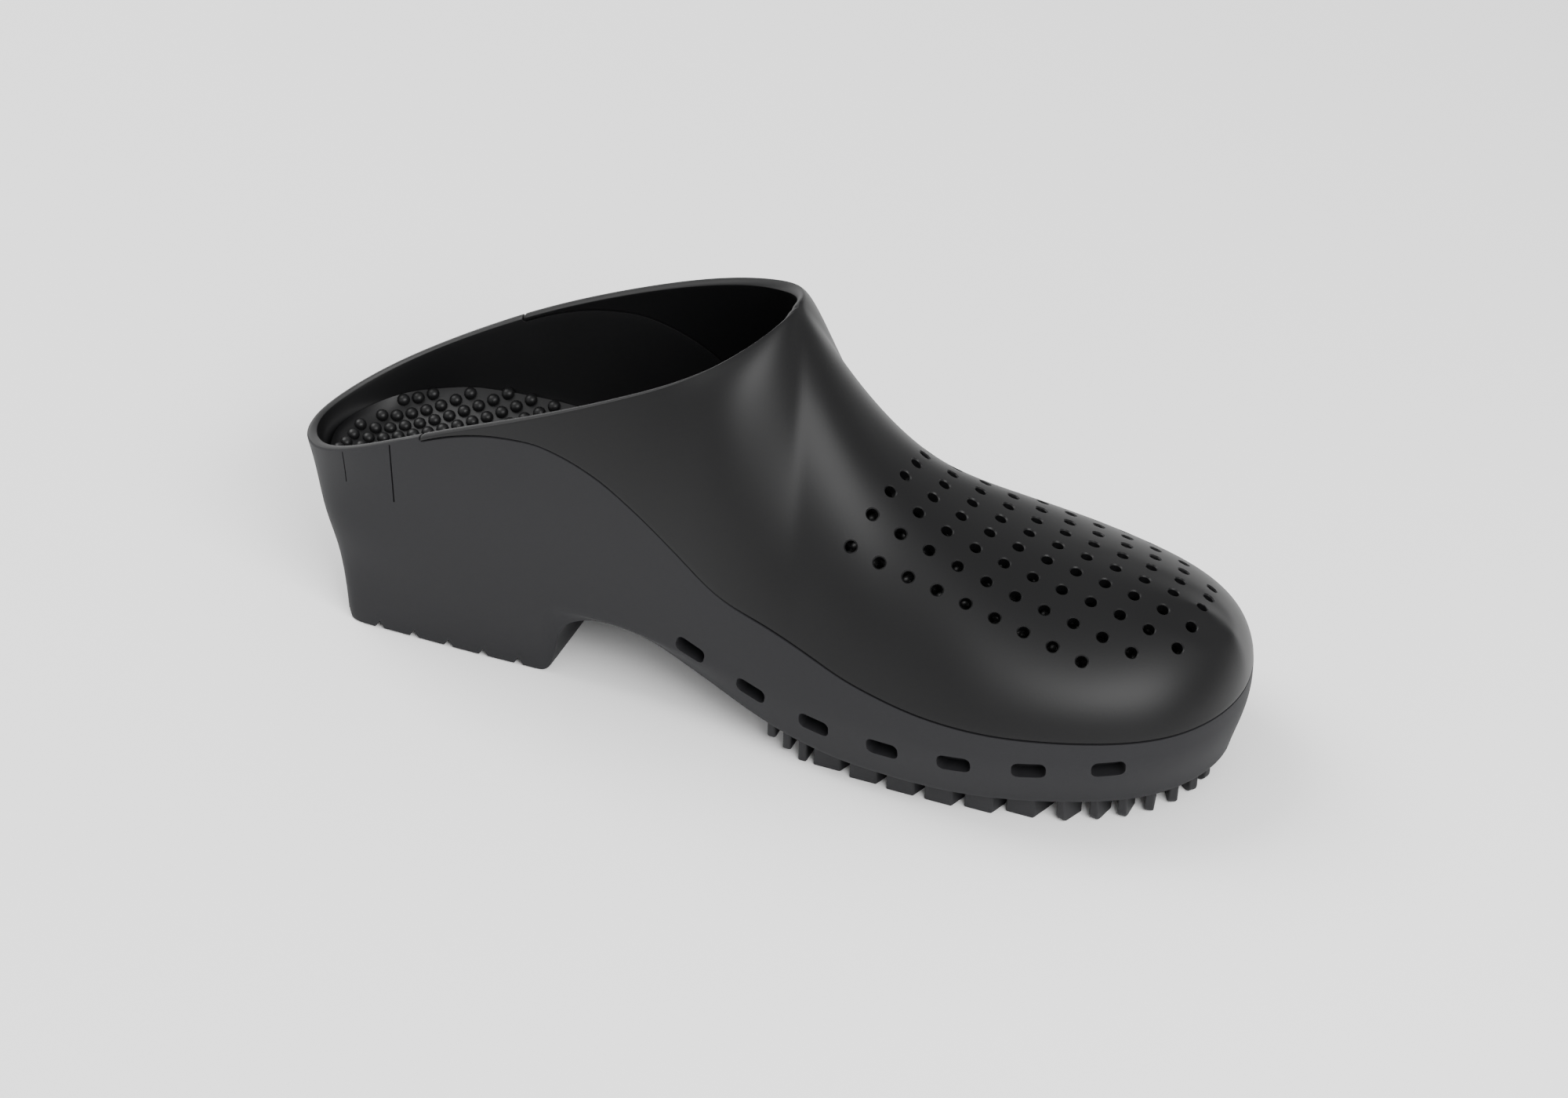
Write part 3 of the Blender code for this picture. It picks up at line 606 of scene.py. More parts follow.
# %% Smoothing along the crest
CREST_REACH = 0.010
CREST_ROUNDS = 10
work = bmesh.new()
work.from_mesh(upper.data)
crest_line = [Vector(crest_curve(s)) + TO_FRAME for s in np.linspace(0.6, len(CREST) - 1, 60)]
near_crest = [v for v in work.verts if min((v.co - p).length for p in crest_line) < CREST_REACH]
for _ in range(CREST_ROUNDS):
    bmesh.ops.smooth_vert(work, verts=near_crest, factor=0.5,
                          use_axis_x=True, use_axis_y=True, use_axis_z=True)
work.to_mesh(upper.data)
work.free()
soft = upper.modifiers.new("rounding", "SUBSURF")
soft.levels = soft.render_levels = 1
print("upper cage:", len(upper.data.polygons), "faces")

# %% [markdown]
# ## Air holes
#
# The holes over the toes are left by pins in the mould, each square to the skin, in
# rows that bend back towards the sides.  All the pins are cut out with one boolean.
# A pin widens to a short cone at the skin, which leaves a small chamfer round a hole.

# %% The air holes
PATTERNS = {  # first x and last x as shares of LENGTH, number of steps between them
    "grooves": (0.089, 0.282, 5),
    "ribs": (0.565, 0.601, 2),
    "bars": (0.627, 0.824, 5),
    "holes": (0.652, 0.948, 10),
}
HOLE_DIAMETER = 0.0032
HOLE_PITCH_Y = 0.0077
HOLE_LAG = 0.0068
HOLE_ROWS = [9] * 9 + [7, 5]
HOLE_CHAMFER = 0.00035
HOLE_SIDES = 20
PIN_OVER = 0.0010
PIN_DEPTH = 0.0055
SLOPE_STEP = 0.002

skin = BVHTree.FromObject(upper, bpy.context.evaluated_depsgraph_get())


def pattern_xs(name):
    """Return the x of each place in a pattern of equal steps."""
    first, last, steps = PATTERNS[name]
    return [LENGTH * (first + (last - first) * i / steps) for i in range(steps + 1)]


def skin_point(x, y):
    """Return the top of the upper at a place on the guide lines' plan, in the frame."""
    return skin.ray_cast(Vector((x, y, 1.0)) + TO_FRAME, Vector((0, 0, -1)))[0]


def pin_ring(place, radius, depth):
    """Return one ring of points round a pin, at a depth under the skin."""
    turns = [2 * math.pi * i / HOLE_SIDES for i in range(HOLE_SIDES)]
    return [place @ Vector((radius * math.cos(a), radius * math.sin(a), -depth)) for a in turns]


pins = bmesh.new()
for row_x, count in zip(pattern_xs("holes"), HOLE_ROWS):
    for j in range(count):
        column = j - (count - 1) / 2
        x = row_x - HOLE_LAG * (column / 4)**2
        y = column * HOLE_PITCH_Y
        forward = skin_point(x + SLOPE_STEP, y) - skin_point(x - SLOPE_STEP, y)
        sideways = skin_point(x, y + SLOPE_STEP) - skin_point(x, y - SLOPE_STEP)
        turn = forward.cross(sideways).normalized().to_track_quat("Z", "X").to_matrix().to_4x4()
        place = Matrix.Translation(skin_point(x, y)) @ turn
        radius = HOLE_DIAMETER / 2
        add_prism(pins, [pin_ring(place, radius + HOLE_CHAMFER + PIN_OVER, -PIN_OVER),
                         pin_ring(place, radius, HOLE_CHAMFER),
                         pin_ring(place, radius, PIN_DEPTH)])
bmesh.ops.recalc_face_normals(pins, faces=pins.faces)
pin_mesh = bpy.data.meshes.new("hole_pins")
pins.to_mesh(pin_mesh)
pins.free()
pin_tool = bpy.data.objects.new("hole_pins", pin_mesh)
bpy.context.scene.collection.objects.link(pin_tool)
cut(upper, pin_tool)

# %% [markdown]
# ## The sole
#
# The sole is a deep cup.  Its outer wall follows the same surface from the lower edge
# up to the parting line, and behind the nick right up to the collar.  The inner wall
# follows it at the wall's thickness, down to a floor that carries the footbed.  It is
# one closed cage, and rows held close to each edge keep the edges crisp.  Sections lie
# closer together at the corners of the heel block and at the steep front of the heel.

# %% The sole's cup
SOLE_STEPS = [0, 0.15, 0.3, 0.45, 0.6, 0.7, 0.8, 0.9, 1, 1.1, 1.2, 1.35, 1.5, 1.7, 1.9, 2.1, 2.3, 2.5,
              2.7, 2.95, 3.15, 3.35, 3.55, 3.7, 3.8, 3.87, 3.92, 3.96, 3.99, 4.02, 4.05, 4.09, 4.14,
              4.22, 4.35, 4.5, *np.arange(4.7, 9.9, 0.2), *np.arange(9.9, 11.95, 0.15), 12]
LOW_ROWS = 12
INNER_ROWS = 7
ACROSS = 12
EDGE_HOLD = 0.0006
TOP_HOLD = 0.0009
LEDGE_HOLD = 0.0002


def footbed_rows(x):
    """Return height, edge rise and inset of the footbed."""
    sizes = (FOOTBED_HEIGHT, FOOTBED_RISE, FOOTBED_INSET)
    return [size * table_value(FOOTBED, x / LENGTH, column + 1) for column, size in enumerate(sizes)]


def dish(x, u, share):
    """Return how far the footbed dips under its edge: u is 0 in the middle and 1 at the edge."""
    return footbed_rows(x)[1] * (1 - u**3) * share


def level_normal(side, k, v):
    """Return the level part of the outward normal, as a unit direction."""
    level = surface_normal(side, k, v) * np.array([1.0, 1.0, 0.0])
    return level / np.linalg.norm(level)


def floor_edge(side, k, drop):
    """Return the footbed's outline at a section, drop under its top, inside the wall."""
    v = 0.9
    for _ in range(4):
        height, rise, _ = footbed_rows(surface(side, k, v)[0])
        v = height_share(side, k, height + rise - drop)
    point = surface(side, k, v)
    height, rise, inset = footbed_rows(point[0])
    point = point - inset * level_normal(side, k, v)
    point[2] = height + rise - drop
    return point, v


def ladder(near_row, far_row, dip_at, across):
    """Return rows of points across the shoe from the near line to the far line."""
    rows = []
    for near, far in zip(near_row, far_row):
        row = []
        for j in range(across + 1):
            u = j / across
            point = near * (1 - u) + far * u
            point[2] -= dip_at(point[0], abs(2 * u - 1), min(1.0, (far[1] - near[1]) / DISH_WIDTH))
            row.append(point)
        rows.append(row)
    return rows


sole_sections = sorted(SOLE_STEPS + [NICK - NICK_HOLD, NICK - NICK_GAP, NICK])
ring = [(-1, k) for k in sole_sections] + [(1, k) for k in sole_sections[-2:0:-1]]
drop = FOOTBED_THICKNESS + FOOTBED_GAP
columns = []
for side, k in ring:
    top = 2.0 if k < NICK - 1e-6 else shifted_share(side, k, seam_share(side, k), -PIECE_GAP / 2)
    held = shifted_share(side, k, top, -TOP_HOLD if k < NICK - 1e-6 else -LEDGE_HOLD)
    low = EDGE_HOLD / np.linalg.norm(surface(side, k, 0.1) - surface(side, k, 0.0)) * 0.1
    outer = [surface(side, k, 0.0)] + [surface(side, k, low + (held - low) * j / (LOW_ROWS - 2))
                                       for j in range(LOW_ROWS - 1)] + [surface(side, k, top)]
    bottom, v_floor = floor_edge(side, k, drop)
    inset = footbed_rows(bottom[0])[2]
    inner = [surface(side, k, top) - WALL * surface_normal(side, k, top)]
    for m in range(INNER_ROWS):
        t = m / INNER_ROWS
        v = held + (v_floor - held) * t
        inner.append(surface(side, k, v) - (WALL + (inset - WALL) * t**4) * surface_normal(side, k, v))
    columns.append(outer + inner + [bottom])
levels = len(columns[0])
vertices = [columns[j][i] for i in range(levels) for j in range(len(ring))]
faces = ring_faces(0, levels, len(ring), closed=True)
finishes = [0 if i < LOW_ROWS else 1 for i in range(levels - 1) for _ in ring]
last = len(sole_sections) - 1
near = list(range(len(sole_sections)))
far = [0] + [len(ring) - i for i in range(1, last)] + [last]


def close_level(level, dip_at):
    """Close the cup at one level with a ladder of faces from side to side."""
    line = [columns[j][level] for j in range(len(ring))]
    rows = ladder([line[i].copy() for i in near], [line[i].copy() for i in far], dip_at, ACROSS)
    first = len(vertices)
    for row in rows:
        vertices.extend(row)
    faces.extend(ring_faces(first, len(rows), ACROSS + 1, closed=False))


close_level(0, lambda x, u, share: 0.0)
finishes += [0] * (len(faces) - len(finishes))
close_level(levels - 1, dish)
finishes += [1] * (len(faces) - len(finishes))
sole = mesh_object("sole_cup", vertices, faces, finishes)
soft = sole.modifiers.new("rounding", "SUBSURF")
soft.levels = soft.render_levels = 1
print("sole cage:", len(sole.data.polygons), "faces")

# %% [markdown]
# ## Slots and grooves
#
# Slots along the side let air and water out, and grooves across the heel grip the
# floor.  Both are plain bars cut out of the cup.  A slot is longer than it is high,
# with round corners, and points square into the wall.

# %% Slots in the sole
SLOTS = [  # x, height as a share of COLLAR_HEIGHT
    (0.479, 0.230),
    (0.548, 0.182),
    (0.619, 0.156),
    (0.693, 0.156),
    (0.766, 0.168),
    (0.837, 0.178),
    (0.908, 0.189),
]
SLOT_LENGTH = 0.0092
SLOT_HEIGHT = 0.0050
SLOT_CORNER = 0.0018
SLOT_DEPTH = 0.0055
SLOT_OVER = 0.0040
SLOT_ARC_STEPS = 4


def section_at(side, x, height, low, high, v_most):
    """Return the section and v of the wall point at an x and a height."""
    k = halved(low, high, lambda k: surface(side, k, height_share(side, k, height, v_most))[0] < x)
    return k, height_share(side, k, height, v_most)


tools = bmesh.new()
for side in (-1, 1):
    centres, outs = [], []
    for share, height in SLOTS:
        k, v = section_at(side, share * LENGTH, height * COLLAR_HEIGHT, 3.0, float(SECTIONS), 1.6)
        centres.append(surface(side, k, v))
        outs.append(level_normal(side, k, v))
    for i, (centre, out) in enumerate(zip(centres, outs)):
        along = centres[min(i + 1, len(centres) - 1)] - centres[max(i - 1, 0)]
        along = along - out * along.dot(out)
        along = along / np.linalg.norm(along)
        rise = np.cross(out, along)
        half, high = SLOT_LENGTH / 2 - SLOT_CORNER, SLOT_HEIGHT / 2 - SLOT_CORNER
        loop = []
        for end, level, first in ((1, -1, -90), (1, 1, 0), (-1, 1, 90), (-1, -1, 180)):
            for step in range(SLOT_ARC_STEPS + 1):
                turn = math.radians(first + 90 * step / SLOT_ARC_STEPS)
                loop.append(along * (end * half + SLOT_CORNER * math.cos(turn))
                            + rise * (level * high + SLOT_CORNER * math.sin(turn)))
        add_prism(tools, [[centre + out * depth + p for p in loop] for depth in (SLOT_OVER, -SLOT_DEPTH)])
print("slots on each side:", len(SLOTS))

# %% Grooves across the heel
GROOVE_WIDTH = 0.0032
GROOVE_DEPTH = 0.0027
GROOVE_OVER = 0.0010
GROOVE_REACH = 0.0600

for x in pattern_xs("grooves"):
    slant = GROOVE_WIDTH / 2 / GROOVE_DEPTH * (GROOVE_DEPTH + GROOVE_OVER)
    section = [(x - slant, -GROOVE_OVER), (x + slant, -GROOVE_OVER), (x, GROOVE_DEPTH)]
    add_prism(tools, [[(px, y, pz) for px, pz in section] for y in (-GROOVE_REACH, GROOVE_REACH)])
print("grooves:", len(pattern_xs("grooves")))

# %% [markdown]
# The heel's small square field, high on each side, is only outlined: two fine lines
# down from the rim, as an insert in the mould leaves them.  The field itself is bare.
# The lines are cut with the slots and grooves, because one boolean is quicker than two.

# %% The outlined field on the heel
PANEL_LINES = [  # x at the rim and at the bottom, bottom height, width
    (0.0236, 0.0248, 0.0452, 0.0004),
    (0.0402, 0.0412, 0.0452, 0.0005),
]
PANEL_DEPTH = 0.0006
PANEL_OVER = 0.0010
PANEL_DROP = 0.0008
PANEL_STEPS = 8
HEEL_WALL = (0.5, 3.0, 1.999)  # first and last section and highest v of the heel's wall

for side in (-1, 1):
    for top_x, bottom_x, bottom_z, line_width in PANEL_LINES:
        outlines = []
        for i in range(PANEL_STEPS + 1):
            t = i / PANEL_STEPS
            x = bottom_x + (top_x - bottom_x) * t
            k, _ = section_at(side, x, 1.0, *HEEL_WALL)
            rim_z = surface(side, k, 2.0)[2] - PANEL_DROP
            k, v = section_at(side, x, bottom_z + (rim_z - bottom_z) * t, *HEEL_WALL)
            point, out = surface(side, k, v), surface_normal(side, k, v)
            along = np.cross(out, [0.0, 0.0, 1.0])
            along = along / np.linalg.norm(along) * line_width / 2
            low, high = point - out * PANEL_DEPTH, point + out * PANEL_OVER
            outlines.append([low - along, high - along, high + along, low + along])
        add_prism(tools, outlines)
cut(sole, object_from(tools, "slot_tools"))

# %% [markdown]
# ## The tread
#
# Under the forefoot stand three thin ribs, six wide bars and a fan of fins round the
# toe.  In the mould they are milled slots with worn, slightly round edges.  Each is a
# small prism sunk a little into the plate, with its edges bevelled.  Its shading stays
# crisp that way, where a subdivision would have made it look swollen.

# %% Ribs and bars
BAR_WIDTH = 0.0080
BAR_ARCH = 0.0080
BAR_INSET = 0.0045
RIB_WIDTH = 0.0026
RIB_INSET = 0.0035
RIB_SLOPE = 0.36
TREAD_SUNK = 0.0012
BAR_STEPS = 16


def outline_y(side, x):
    """Return the y of the sole's lower edge at an x."""
    k = halved(1.0, float(SECTIONS), lambda k: on_side(edge_curve, side, k)[0] < x)
    return on_side(edge_curve, side, k)[1]


def add_bar(work, x_end, width, inset, arch, bottom, top):
    """Add a tread bar that runs from side to side and bows towards the toe."""
    near, far = outline_y(-1, x_end) + inset, outline_y(1, x_end) - inset
    front, back = [], []
    for i in range(BAR_STEPS + 1):
        u = 2 * i / BAR_STEPS - 1
        y = near + (far - near) * i / BAR_STEPS
        x = x_end + arch * (1 - u * u)
        front.append((x + width / 2, y))
        back.append((x - width / 2, y))
    outline = back + front[::-1]
    rings = [[work.verts.new((x, y, z)) for x, y in outline] for z in (bottom, top)]
    count = len(outline)
    for i in range(count):
        j = (i + 1) % count
        work.faces.new((rings[0][i], rings[0][j], rings[1][j], rings[1][i]))
    for level in rings:
        for i in range(BAR_STEPS):
            work.faces.new((level[i], level[i + 1], level[count - 2 - i], level[count - 1 - i]))


def bevelled(thing, width):
    """Round the sharp edges of a tread piece."""
    step = thing.modifiers.new("worn edges", "BEVEL")
    step.width = width
    step.segments = 3
    step.limit_method = "ANGLE"
    step.angle_limit = math.radians(40)
    thing.data.set_sharp_from_angle(angle=math.radians(50))
    return thing


work = bmesh.new()
rib_xs = pattern_xs("ribs")
for x in rib_xs:
    add_bar(work, x, RIB_WIDTH, RIB_INSET, 0.0, RIB_SLOPE * (rib_xs[-1] - x), edge_height(x) + TREAD_SUNK)
ribs = bevelled(object_from(work, "tread_ribs"), 0.0007)
work = bmesh.new()
for x in pattern_xs("bars"):
    add_bar(work, x, BAR_WIDTH, BAR_INSET, BAR_ARCH, 0.0, PLATE_HEIGHT + TREAD_SUNK)
bars = bevelled(object_from(work, "tread_bars"), 0.0006)
print("ribs and bars:", len(ribs.data.polygons) + len(bars.data.polygons), "faces before the bevel")

# %% [markdown]
# The fins point at one place under the toes, like the spokes of half a wheel.  Each
# loses its lower outer corner, so that the shoe can roll forward on them.

# %% Fins round the toe
FINS = [9.62, 9.95, 10.28, 10.66, 11.05, 11.42, 11.75]
FIN_WIDTH = 0.0026
FIN_LENGTH = 0.0080
FIN_AIM = 0.920
FIN_INSET = 0.0028
FIN_CORNER = 0.0024
FIN_CORNER_STEPS = 5

work = bmesh.new()
for side in (-1, 1):
    for k in FINS:
        row = on_side(edge_curve, side, k)
        tip = np.array([row[0], row[1]])
        inward = np.array([FIN_AIM * LENGTH, 0.0]) - tip
        inward = inward / np.linalg.norm(inward)
        across = np.array([-inward[1], inward[0]]) * FIN_WIDTH / 2
        top = PLATE_HEIGHT + TREAD_SUNK
        profile = [(FIN_INSET + FIN_LENGTH, top), (FIN_INSET, top)]
        for step in range(FIN_CORNER_STEPS + 1):
            turn = math.radians(90 * step / FIN_CORNER_STEPS)
            profile.append((FIN_INSET + FIN_CORNER * (1 - math.cos(turn)),
                            FIN_CORNER * (1 - math.sin(turn))))
        profile.append((FIN_INSET + FIN_LENGTH, 0.0))
        add_prism(work, [[(*(tip + inward * d + across * s), z) for d, z in profile] for s in (-1, 1)])
fins = bevelled(object_from(work, "tread_fins"), 0.0005)
print("fins:", 2 * len(FINS))

# %% [markdown]
# ## The footbed and its nubs
#
# The footbed is a dished plate in the cup, with a rim a little higher than its middle.
# It follows the outline of the cup's floor, so it is laid as two sheets of ladders
# between the near and far lines, and a strip of faces closes the edge.

# %% The footbed plate
BED_ACROSS = 16
outlines = {-1: [], 1: []}
for side, line in outlines.items():
    for k in SOLE_STEPS:
        point, v = floor_edge(side, k, drop)
        line.append(point - FOOTBED_GAP * level_normal(side, k, v) + np.array([0, 0, FOOTBED_GAP]))
vertices, faces = [], []
for lift in (0.0, FOOTBED_THICKNESS):
    sheet_near = [p + np.array([0, 0, lift]) for p in outlines[-1]]
    sheet_far = [p + np.array([0, 0, lift]) for p in outlines[1]]
    first = len(vertices)
    for row in ladder(sheet_near, sheet_far, dish, BED_ACROSS):
        vertices.extend(row)
    faces.extend(ring_faces(first, len(SOLE_STEPS), BED_ACROSS + 1, closed=False))
layer = len(vertices) // 2
for i in range(len(SOLE_STEPS) - 1):
    for j in (0, BED_ACROSS):
        a, b = i * (BED_ACROSS + 1) + j, (i + 1) * (BED_ACROSS + 1) + j
        faces.append((a, b, b + layer, a + layer))
footbed = mesh_object("footbed", vertices, faces)
footbed.data.set_sharp_from_angle(angle=math.radians(50))
print("footbed plate:", len(footbed.data.polygons), "faces")

# %% [markdown]
# Round nubs massage the foot.  A nub is a low dome, and the nubs stand in staggered
# rows, so each is built at its place and turned to the plate.  A bump map would stay
# flat at the footbed's edge, where the photo shows the domes against the dark wall.

# %% The massage nubs
NUB_RADIUS = 0.0019
NUB_HEIGHT = 0.0017
NUB_PITCH_X = 0.0036
NUB_PITCH_Y = 0.0045
NUB_MARGIN = 0.0004
NUB_SIDES = 12
NUB_RINGS = 4
NUB_COLUMNS = 11
STEEPEST = 0.2  # least upright part of the plate's normal that still takes a nub

bed = BVHTree.FromObject(footbed, bpy.context.evaluated_depsgraph_get())


def bed_point(x, y):
    """Return the footbed's top and its normal at a place on the plan, or nothing."""
    point, normal, _, _ = bed.ray_cast(Vector((x, y, 0.2)) + TO_FRAME, Vector((0, 0, -1)))
    return point, normal


def takes_nub(x, y):
    """Tell whether the plate is there, and not too steep, all round a place."""
    turns = np.linspace(0, 2 * math.pi, 9)
    found = [bed_point(x + NUB_MARGIN * math.cos(a), y + NUB_MARGIN * math.sin(a)) for a in turns]
    return all(point is not None and normal.z >= STEEPEST for point, normal in found)


work = bmesh.new()
nubs_made = 0
for i in range(int(LENGTH / NUB_PITCH_X) + 1):
    for j in range(-NUB_COLUMNS, NUB_COLUMNS + 1):
        x = i * NUB_PITCH_X
        y = (j + (0.5 if i % 2 else 0.0)) * NUB_PITCH_Y
        if not takes_nub(x, y):
            continue
        point, normal = bed_point(x, y)
        place = Matrix.Translation(point - TO_FRAME) @ normal.to_track_quat("Z", "X").to_matrix().to_4x4()
        rings = []
        for r in range(NUB_RINGS):
            slope = math.pi / 2 * r / NUB_RINGS
            reach, height = NUB_RADIUS * math.cos(slope), NUB_HEIGHT * math.sin(slope)
            rings.append([work.verts.new(place @ Vector((reach * math.cos(a), reach * math.sin(a), height)))
                          for a in np.linspace(0, 2 * math.pi, NUB_SIDES + 1)[:-1]])
        peak = work.verts.new(place @ Vector((0, 0, NUB_HEIGHT)))
        for a, b in zip(rings, rings[1:]):
            for s in range(NUB_SIDES):
                e = (s + 1) % NUB_SIDES
                work.faces.new((a[s], a[e], b[e], b[s]))
        for s in range(NUB_SIDES):
            work.faces.new((rings[-1][s], rings[-1][(s + 1) % NUB_SIDES], peak))
        nubs_made += 1
nubs = object_from(work, "footbed_nubs")
print("nubs:", nubs_made)

# %% [markdown]
# ## Rubber
#
# Clogs of this kind are moulded in thermoplastic rubber, coloured right through.  The
# mould's own finish shows on it: the upper's half is satin, and the sole's half is
# blasted, so it looks a shade lighter and quite dull.  A fine grain and slow, broad
# changes in shade and gloss keep the skin from looking like painted metal.


# %% Tools for materials
def linear(code):
    """Return an sRGB hex colour as linear numbers."""
    parts = [int(code[i:i + 2], 16) / 255 for i in (1, 3, 5)]
    return [p / 12.92 if p <= 0.04045 else ((p + 0.055) / 1.055)**2.4 for p in parts] + [1.0]


def add(tree, kind, settings=(), links=()):
    """Add a node, set its inputs or properties, and link its inputs to other nodes' outputs."""
    node = tree.nodes.new(kind)
    for name, value in dict(settings).items():
        if name in node.inputs:
            node.inputs[name].default_value = value
        else:
            setattr(node, name, value)
    for name, output in dict(links).items():
        tree.links.new(output, node.inputs[name])
    return node


PATCH_MM = 30  # size of the broad changes in shade and gloss


def rubber(name, dark, light, gloss_from, gloss_to, grain_mm, grain_depth, mirror=0.30):
    """Return moulded rubber: two shades of one black, uneven gloss and a fine mould grain."""
    made = bpy.data.materials.new(name)
    made.use_nodes = True
    tree = made.node_tree
    shader = tree.nodes["Principled BSDF"]
    shader.inputs["Metallic"].default_value = 0.0
    shader.inputs["IOR"].default_value = 1.50
    shader.inputs["Specular IOR Level"].default_value = mirror
    place = add(tree, "ShaderNodeTexCoord")
    broad = add(tree, "ShaderNodeTexNoise", {"Scale": 1000 / PATCH_MM, "Detail": 3.0, "Roughness": 0.5},
                {"Vector": place.outputs["Object"]})
    shade = add(tree, "ShaderNodeValToRGB", (), {"Fac": broad.outputs["Fac"]})
    shade.color_ramp.elements[0].color = linear(dark)
    shade.color_ramp.elements[1].color = linear(light)
    tree.links.new(shade.outputs["Color"], shader.inputs["Base Color"])
    gloss = add(tree, "ShaderNodeMapRange", {"To Min": gloss_from, "To Max": gloss_to},
                {"Value": broad.outputs["Fac"]})
    tree.links.new(gloss.outputs["Result"], shader.inputs["Roughness"])
    grain = add(tree, "ShaderNodeTexNoise", {"Scale": 1000 / grain_mm, "Detail": 2.0, "Roughness": 0.6},
                {"Vector": place.outputs["Object"]})
    relief = add(tree, "ShaderNodeBump", {"Strength": 1.0, "Distance": grain_depth},
                 {"Height": grain.outputs["Fac"]})
    tree.links.new(relief.outputs["Normal"], shader.inputs["Normal"])
    return made


# %% [markdown]
# All five finishes are one compound with an index of refraction of 1.50, typical of
# rubber.  They differ in how finely the mould was polished, which is their roughness.
# The mirror share is under the usual half, because a faint waxy bloom dulls rubber.

# %% The rubbers of this shoe
# Satin rubber, from a polished mould: soft broad highlights over a deep black.
satin_rubber = rubber("satin_moulded_rubber", "#09090a", "#0c0c0d", 0.42, 0.48, 0.7, 0.00001, 0.22)
# Blasted rubber, from a blasted mould: a matt charcoal that never shines.
blasted_rubber = rubber("blasted_moulded_rubber", "#1b1b1d", "#1f1f21", 0.62, 0.70, 0.5, 0.00002, 0.22)
# Tread rubber: the same compound, darker, because the fins shade each other.
tread_rubber = rubber("tread_rubber", "#1a1a1c", "#1f1f21", 0.60, 0.66, 0.6, 0.00002)
# Footbed rubber: the same compound, with a duller skin on the nubs.
footbed_rubber = rubber("footbed_rubber", "#101011", "#141415", 0.40, 0.46, 0.6, 0.00001)
# Lining skin: the inside of the cup is polished too, and it sees almost no light.
lining_rubber = rubber("lining_skin_rubber", "#0c0c0d", "#101011", 0.44, 0.50, 0.6, 0.00001)
for piece, finish in ((upper, satin_rubber), (ribs, tread_rubber), (bars, tread_rubber),
                      (fins, tread_rubber), (footbed, footbed_rubber), (nubs, footbed_rubber)):
    piece.data.materials.append(finish)
sole.data.materials[0] = blasted_rubber
sole.data.materials[1] = lining_rubber
print("finishes:", sorted(m.name for m in bpy.data.materials if "rubber" in m.name))

# %% [markdown]
# ## What stands for what
#
# Each piece rides on the shoe's one body.  The fine meshes take the place of the
# frame's plain solids.

# %% Pieces on the frame
for piece in (upper, sole, ribs, bars, fins, footbed, nubs):
    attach(piece, "root")
for piece, node in ((upper, "upper"), (sole, "sole"), (footbed, "insole")):
    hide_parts(node)

# %% [markdown]
# ## Camera
#
# The camera stands where the photographer stood: over the inner side of the shoe and a
# little towards the toe, looking down on it.  Its long lens hardly swells the near side.

# %% The camera
CAMERA_TURN = math.radians(20.5)
CAMERA_RISE = math.radians(35)
CAMERA_ROLL = math.radians(2)
CAMERA_DISTANCE = 1.2
CAMERA_FOCAL = 2.78
CAMERA_TARGET = Vector((0.1435, 0.0, 0.0370)) + TO_FRAME

back = Vector((math.sin(CAMERA_TURN) * math.cos(CAMERA_RISE),
               -math.cos(CAMERA_TURN) * math.cos(CAMERA_RISE), math.sin(CAMERA_RISE)))
right = Vector((math.cos(CAMERA_TURN), math.sin(CAMERA_TURN), 0.0))
up = back.cross(right)
across = right * math.cos(CAMERA_ROLL) + up * math.sin(CAMERA_ROLL)
upright = up * math.cos(CAMERA_ROLL) - right * math.sin(CAMERA_ROLL)
camera_data = bpy.data.cameras.new("camera")
camera_data.sensor_width = 36.0
camera_data.lens = CAMERA_FOCAL * camera_data.sensor_width
camera = bpy.data.objects.new("camera", camera_data)
bpy.context.scene.collection.objects.link(camera)
place = Matrix((across, upright, back)).transposed().to_4x4()
place.translation = CAMERA_TARGET + back * CAMERA_DISTANCE
camera.matrix_world = place
bpy.context.scene.camera = camera
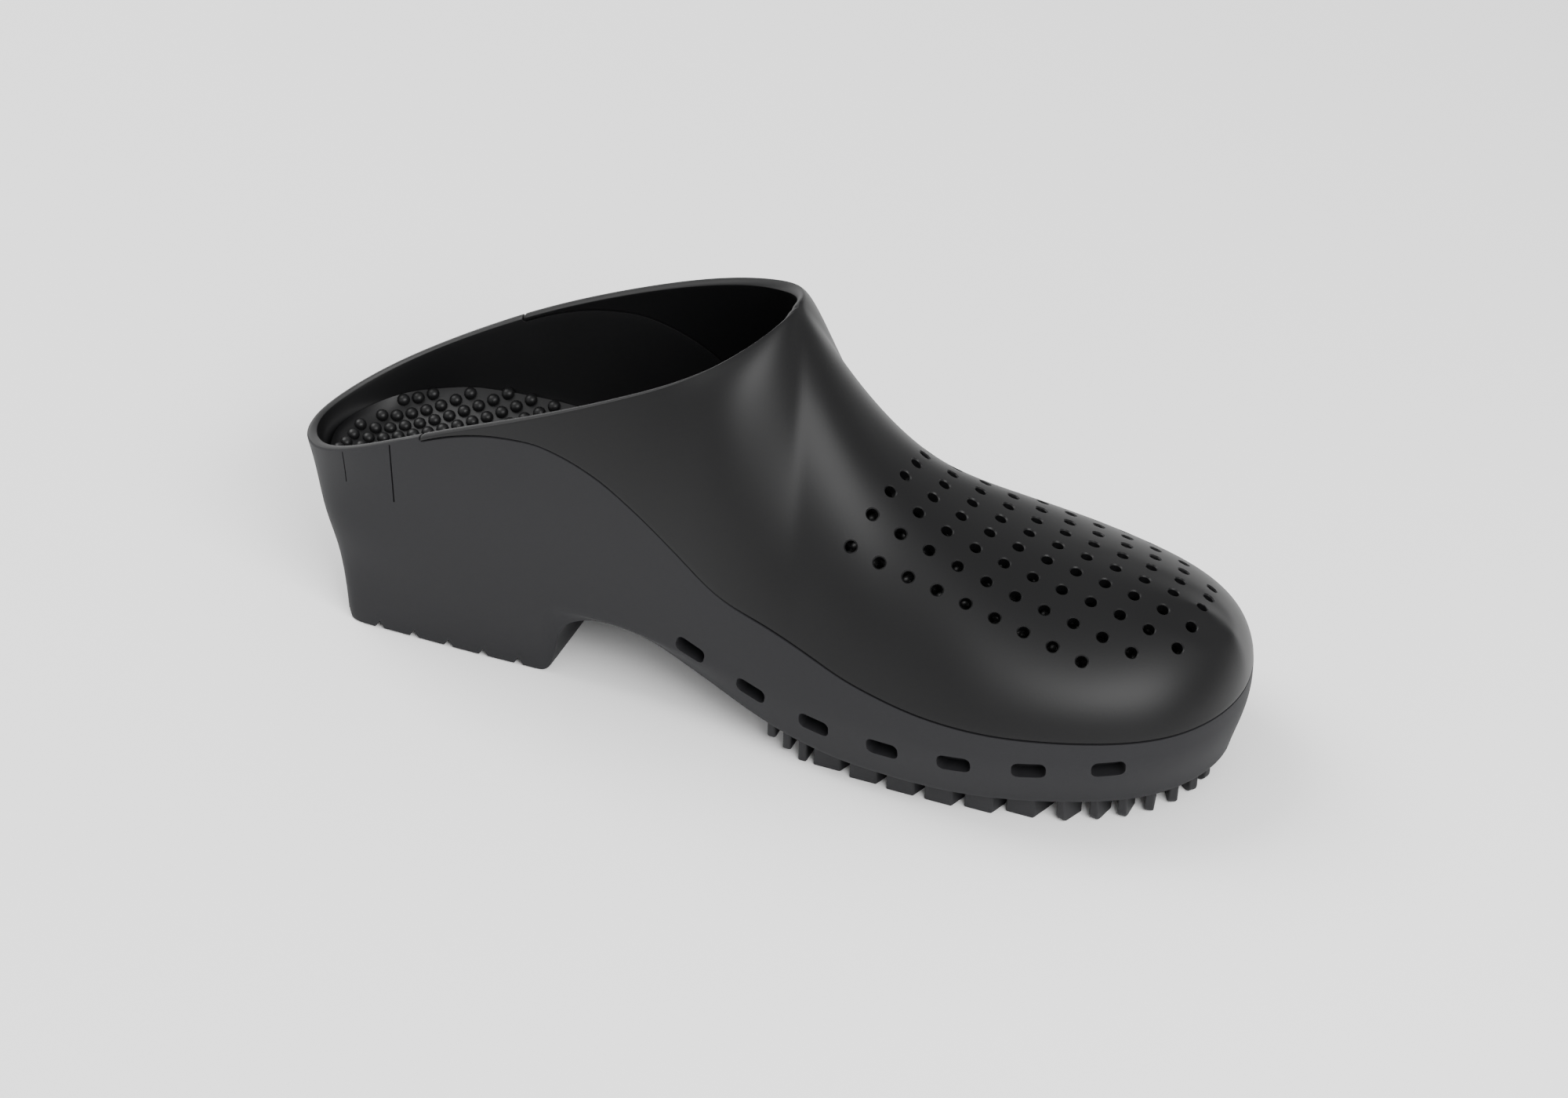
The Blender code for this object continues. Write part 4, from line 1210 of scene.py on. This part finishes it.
print("lens in mm:", round(camera_data.lens, 1))

# %% [markdown]
# ## Light and floor
#
# Black rubber shows mostly what it mirrors, so the lights are large and soft.  A box in
# front of the toe's inner side draws the highlights on the instep and the toe.  One
# behind the heel lights the floor without showing on the toes, a weak low one opens the
# side of the sole, and a white surround does the rest.

# %% Floor, lights and surround
# Paper sweep: matt and white, so that it shows nothing but the soft shadow.
FLOOR_SIZE = 6.0
mesh = bpy.data.meshes.new("floor")
mesh.from_pydata([(-FLOOR_SIZE, -FLOOR_SIZE, 0), (FLOOR_SIZE, -FLOOR_SIZE, 0), (FLOOR_SIZE, FLOOR_SIZE, 0),
                  (-FLOOR_SIZE, FLOOR_SIZE, 0)], [], [(0, 1, 2, 3)])
floor = bpy.data.objects.new("floor", mesh)
bpy.context.scene.collection.objects.link(floor)
paper = bpy.data.materials.new("pale_paper_floor")
paper.use_nodes = True
paper.node_tree.nodes["Principled BSDF"].inputs["Base Color"].default_value = linear("#ffffff")
paper.node_tree.nodes["Principled BSDF"].inputs["Roughness"].default_value = 0.9
floor.data.materials.append(paper)


def soft_box(name, size, power, place, target):
    """Add a large soft light at a place, facing a target."""
    data = bpy.data.lights.new(name, "AREA")
    data.shape = "RECTANGLE"
    data.size, data.size_y = size
    data.energy = power
    light = bpy.data.objects.new(name, data)
    light.location = place
    light.rotation_euler = (Vector(target) - Vector(place)).to_track_quat("-Z", "Y").to_euler()
    bpy.context.scene.collection.objects.link(light)


soft_box("key_over_instep", (0.8, 0.5), 17, (0.70, -0.59, 0.77), (0.02, 0, 0.05))
soft_box("floor_light_from_heel", (1.0, 1.0), 20, (-0.90, 0.20, 1.20), (0.05, 0, 0.0))
soft_box("low_fill_from_side", (1.0, 0.4), 2, (-0.6, -1.1, 0.3), (-0.05, 0, 0.02))
world = bpy.data.worlds.new("white_surround")
world.use_nodes = True
world.node_tree.nodes["Background"].inputs["Color"].default_value = linear("#ffffff")
world.node_tree.nodes["Background"].inputs["Strength"].default_value = 0.82
bpy.context.scene.world = world
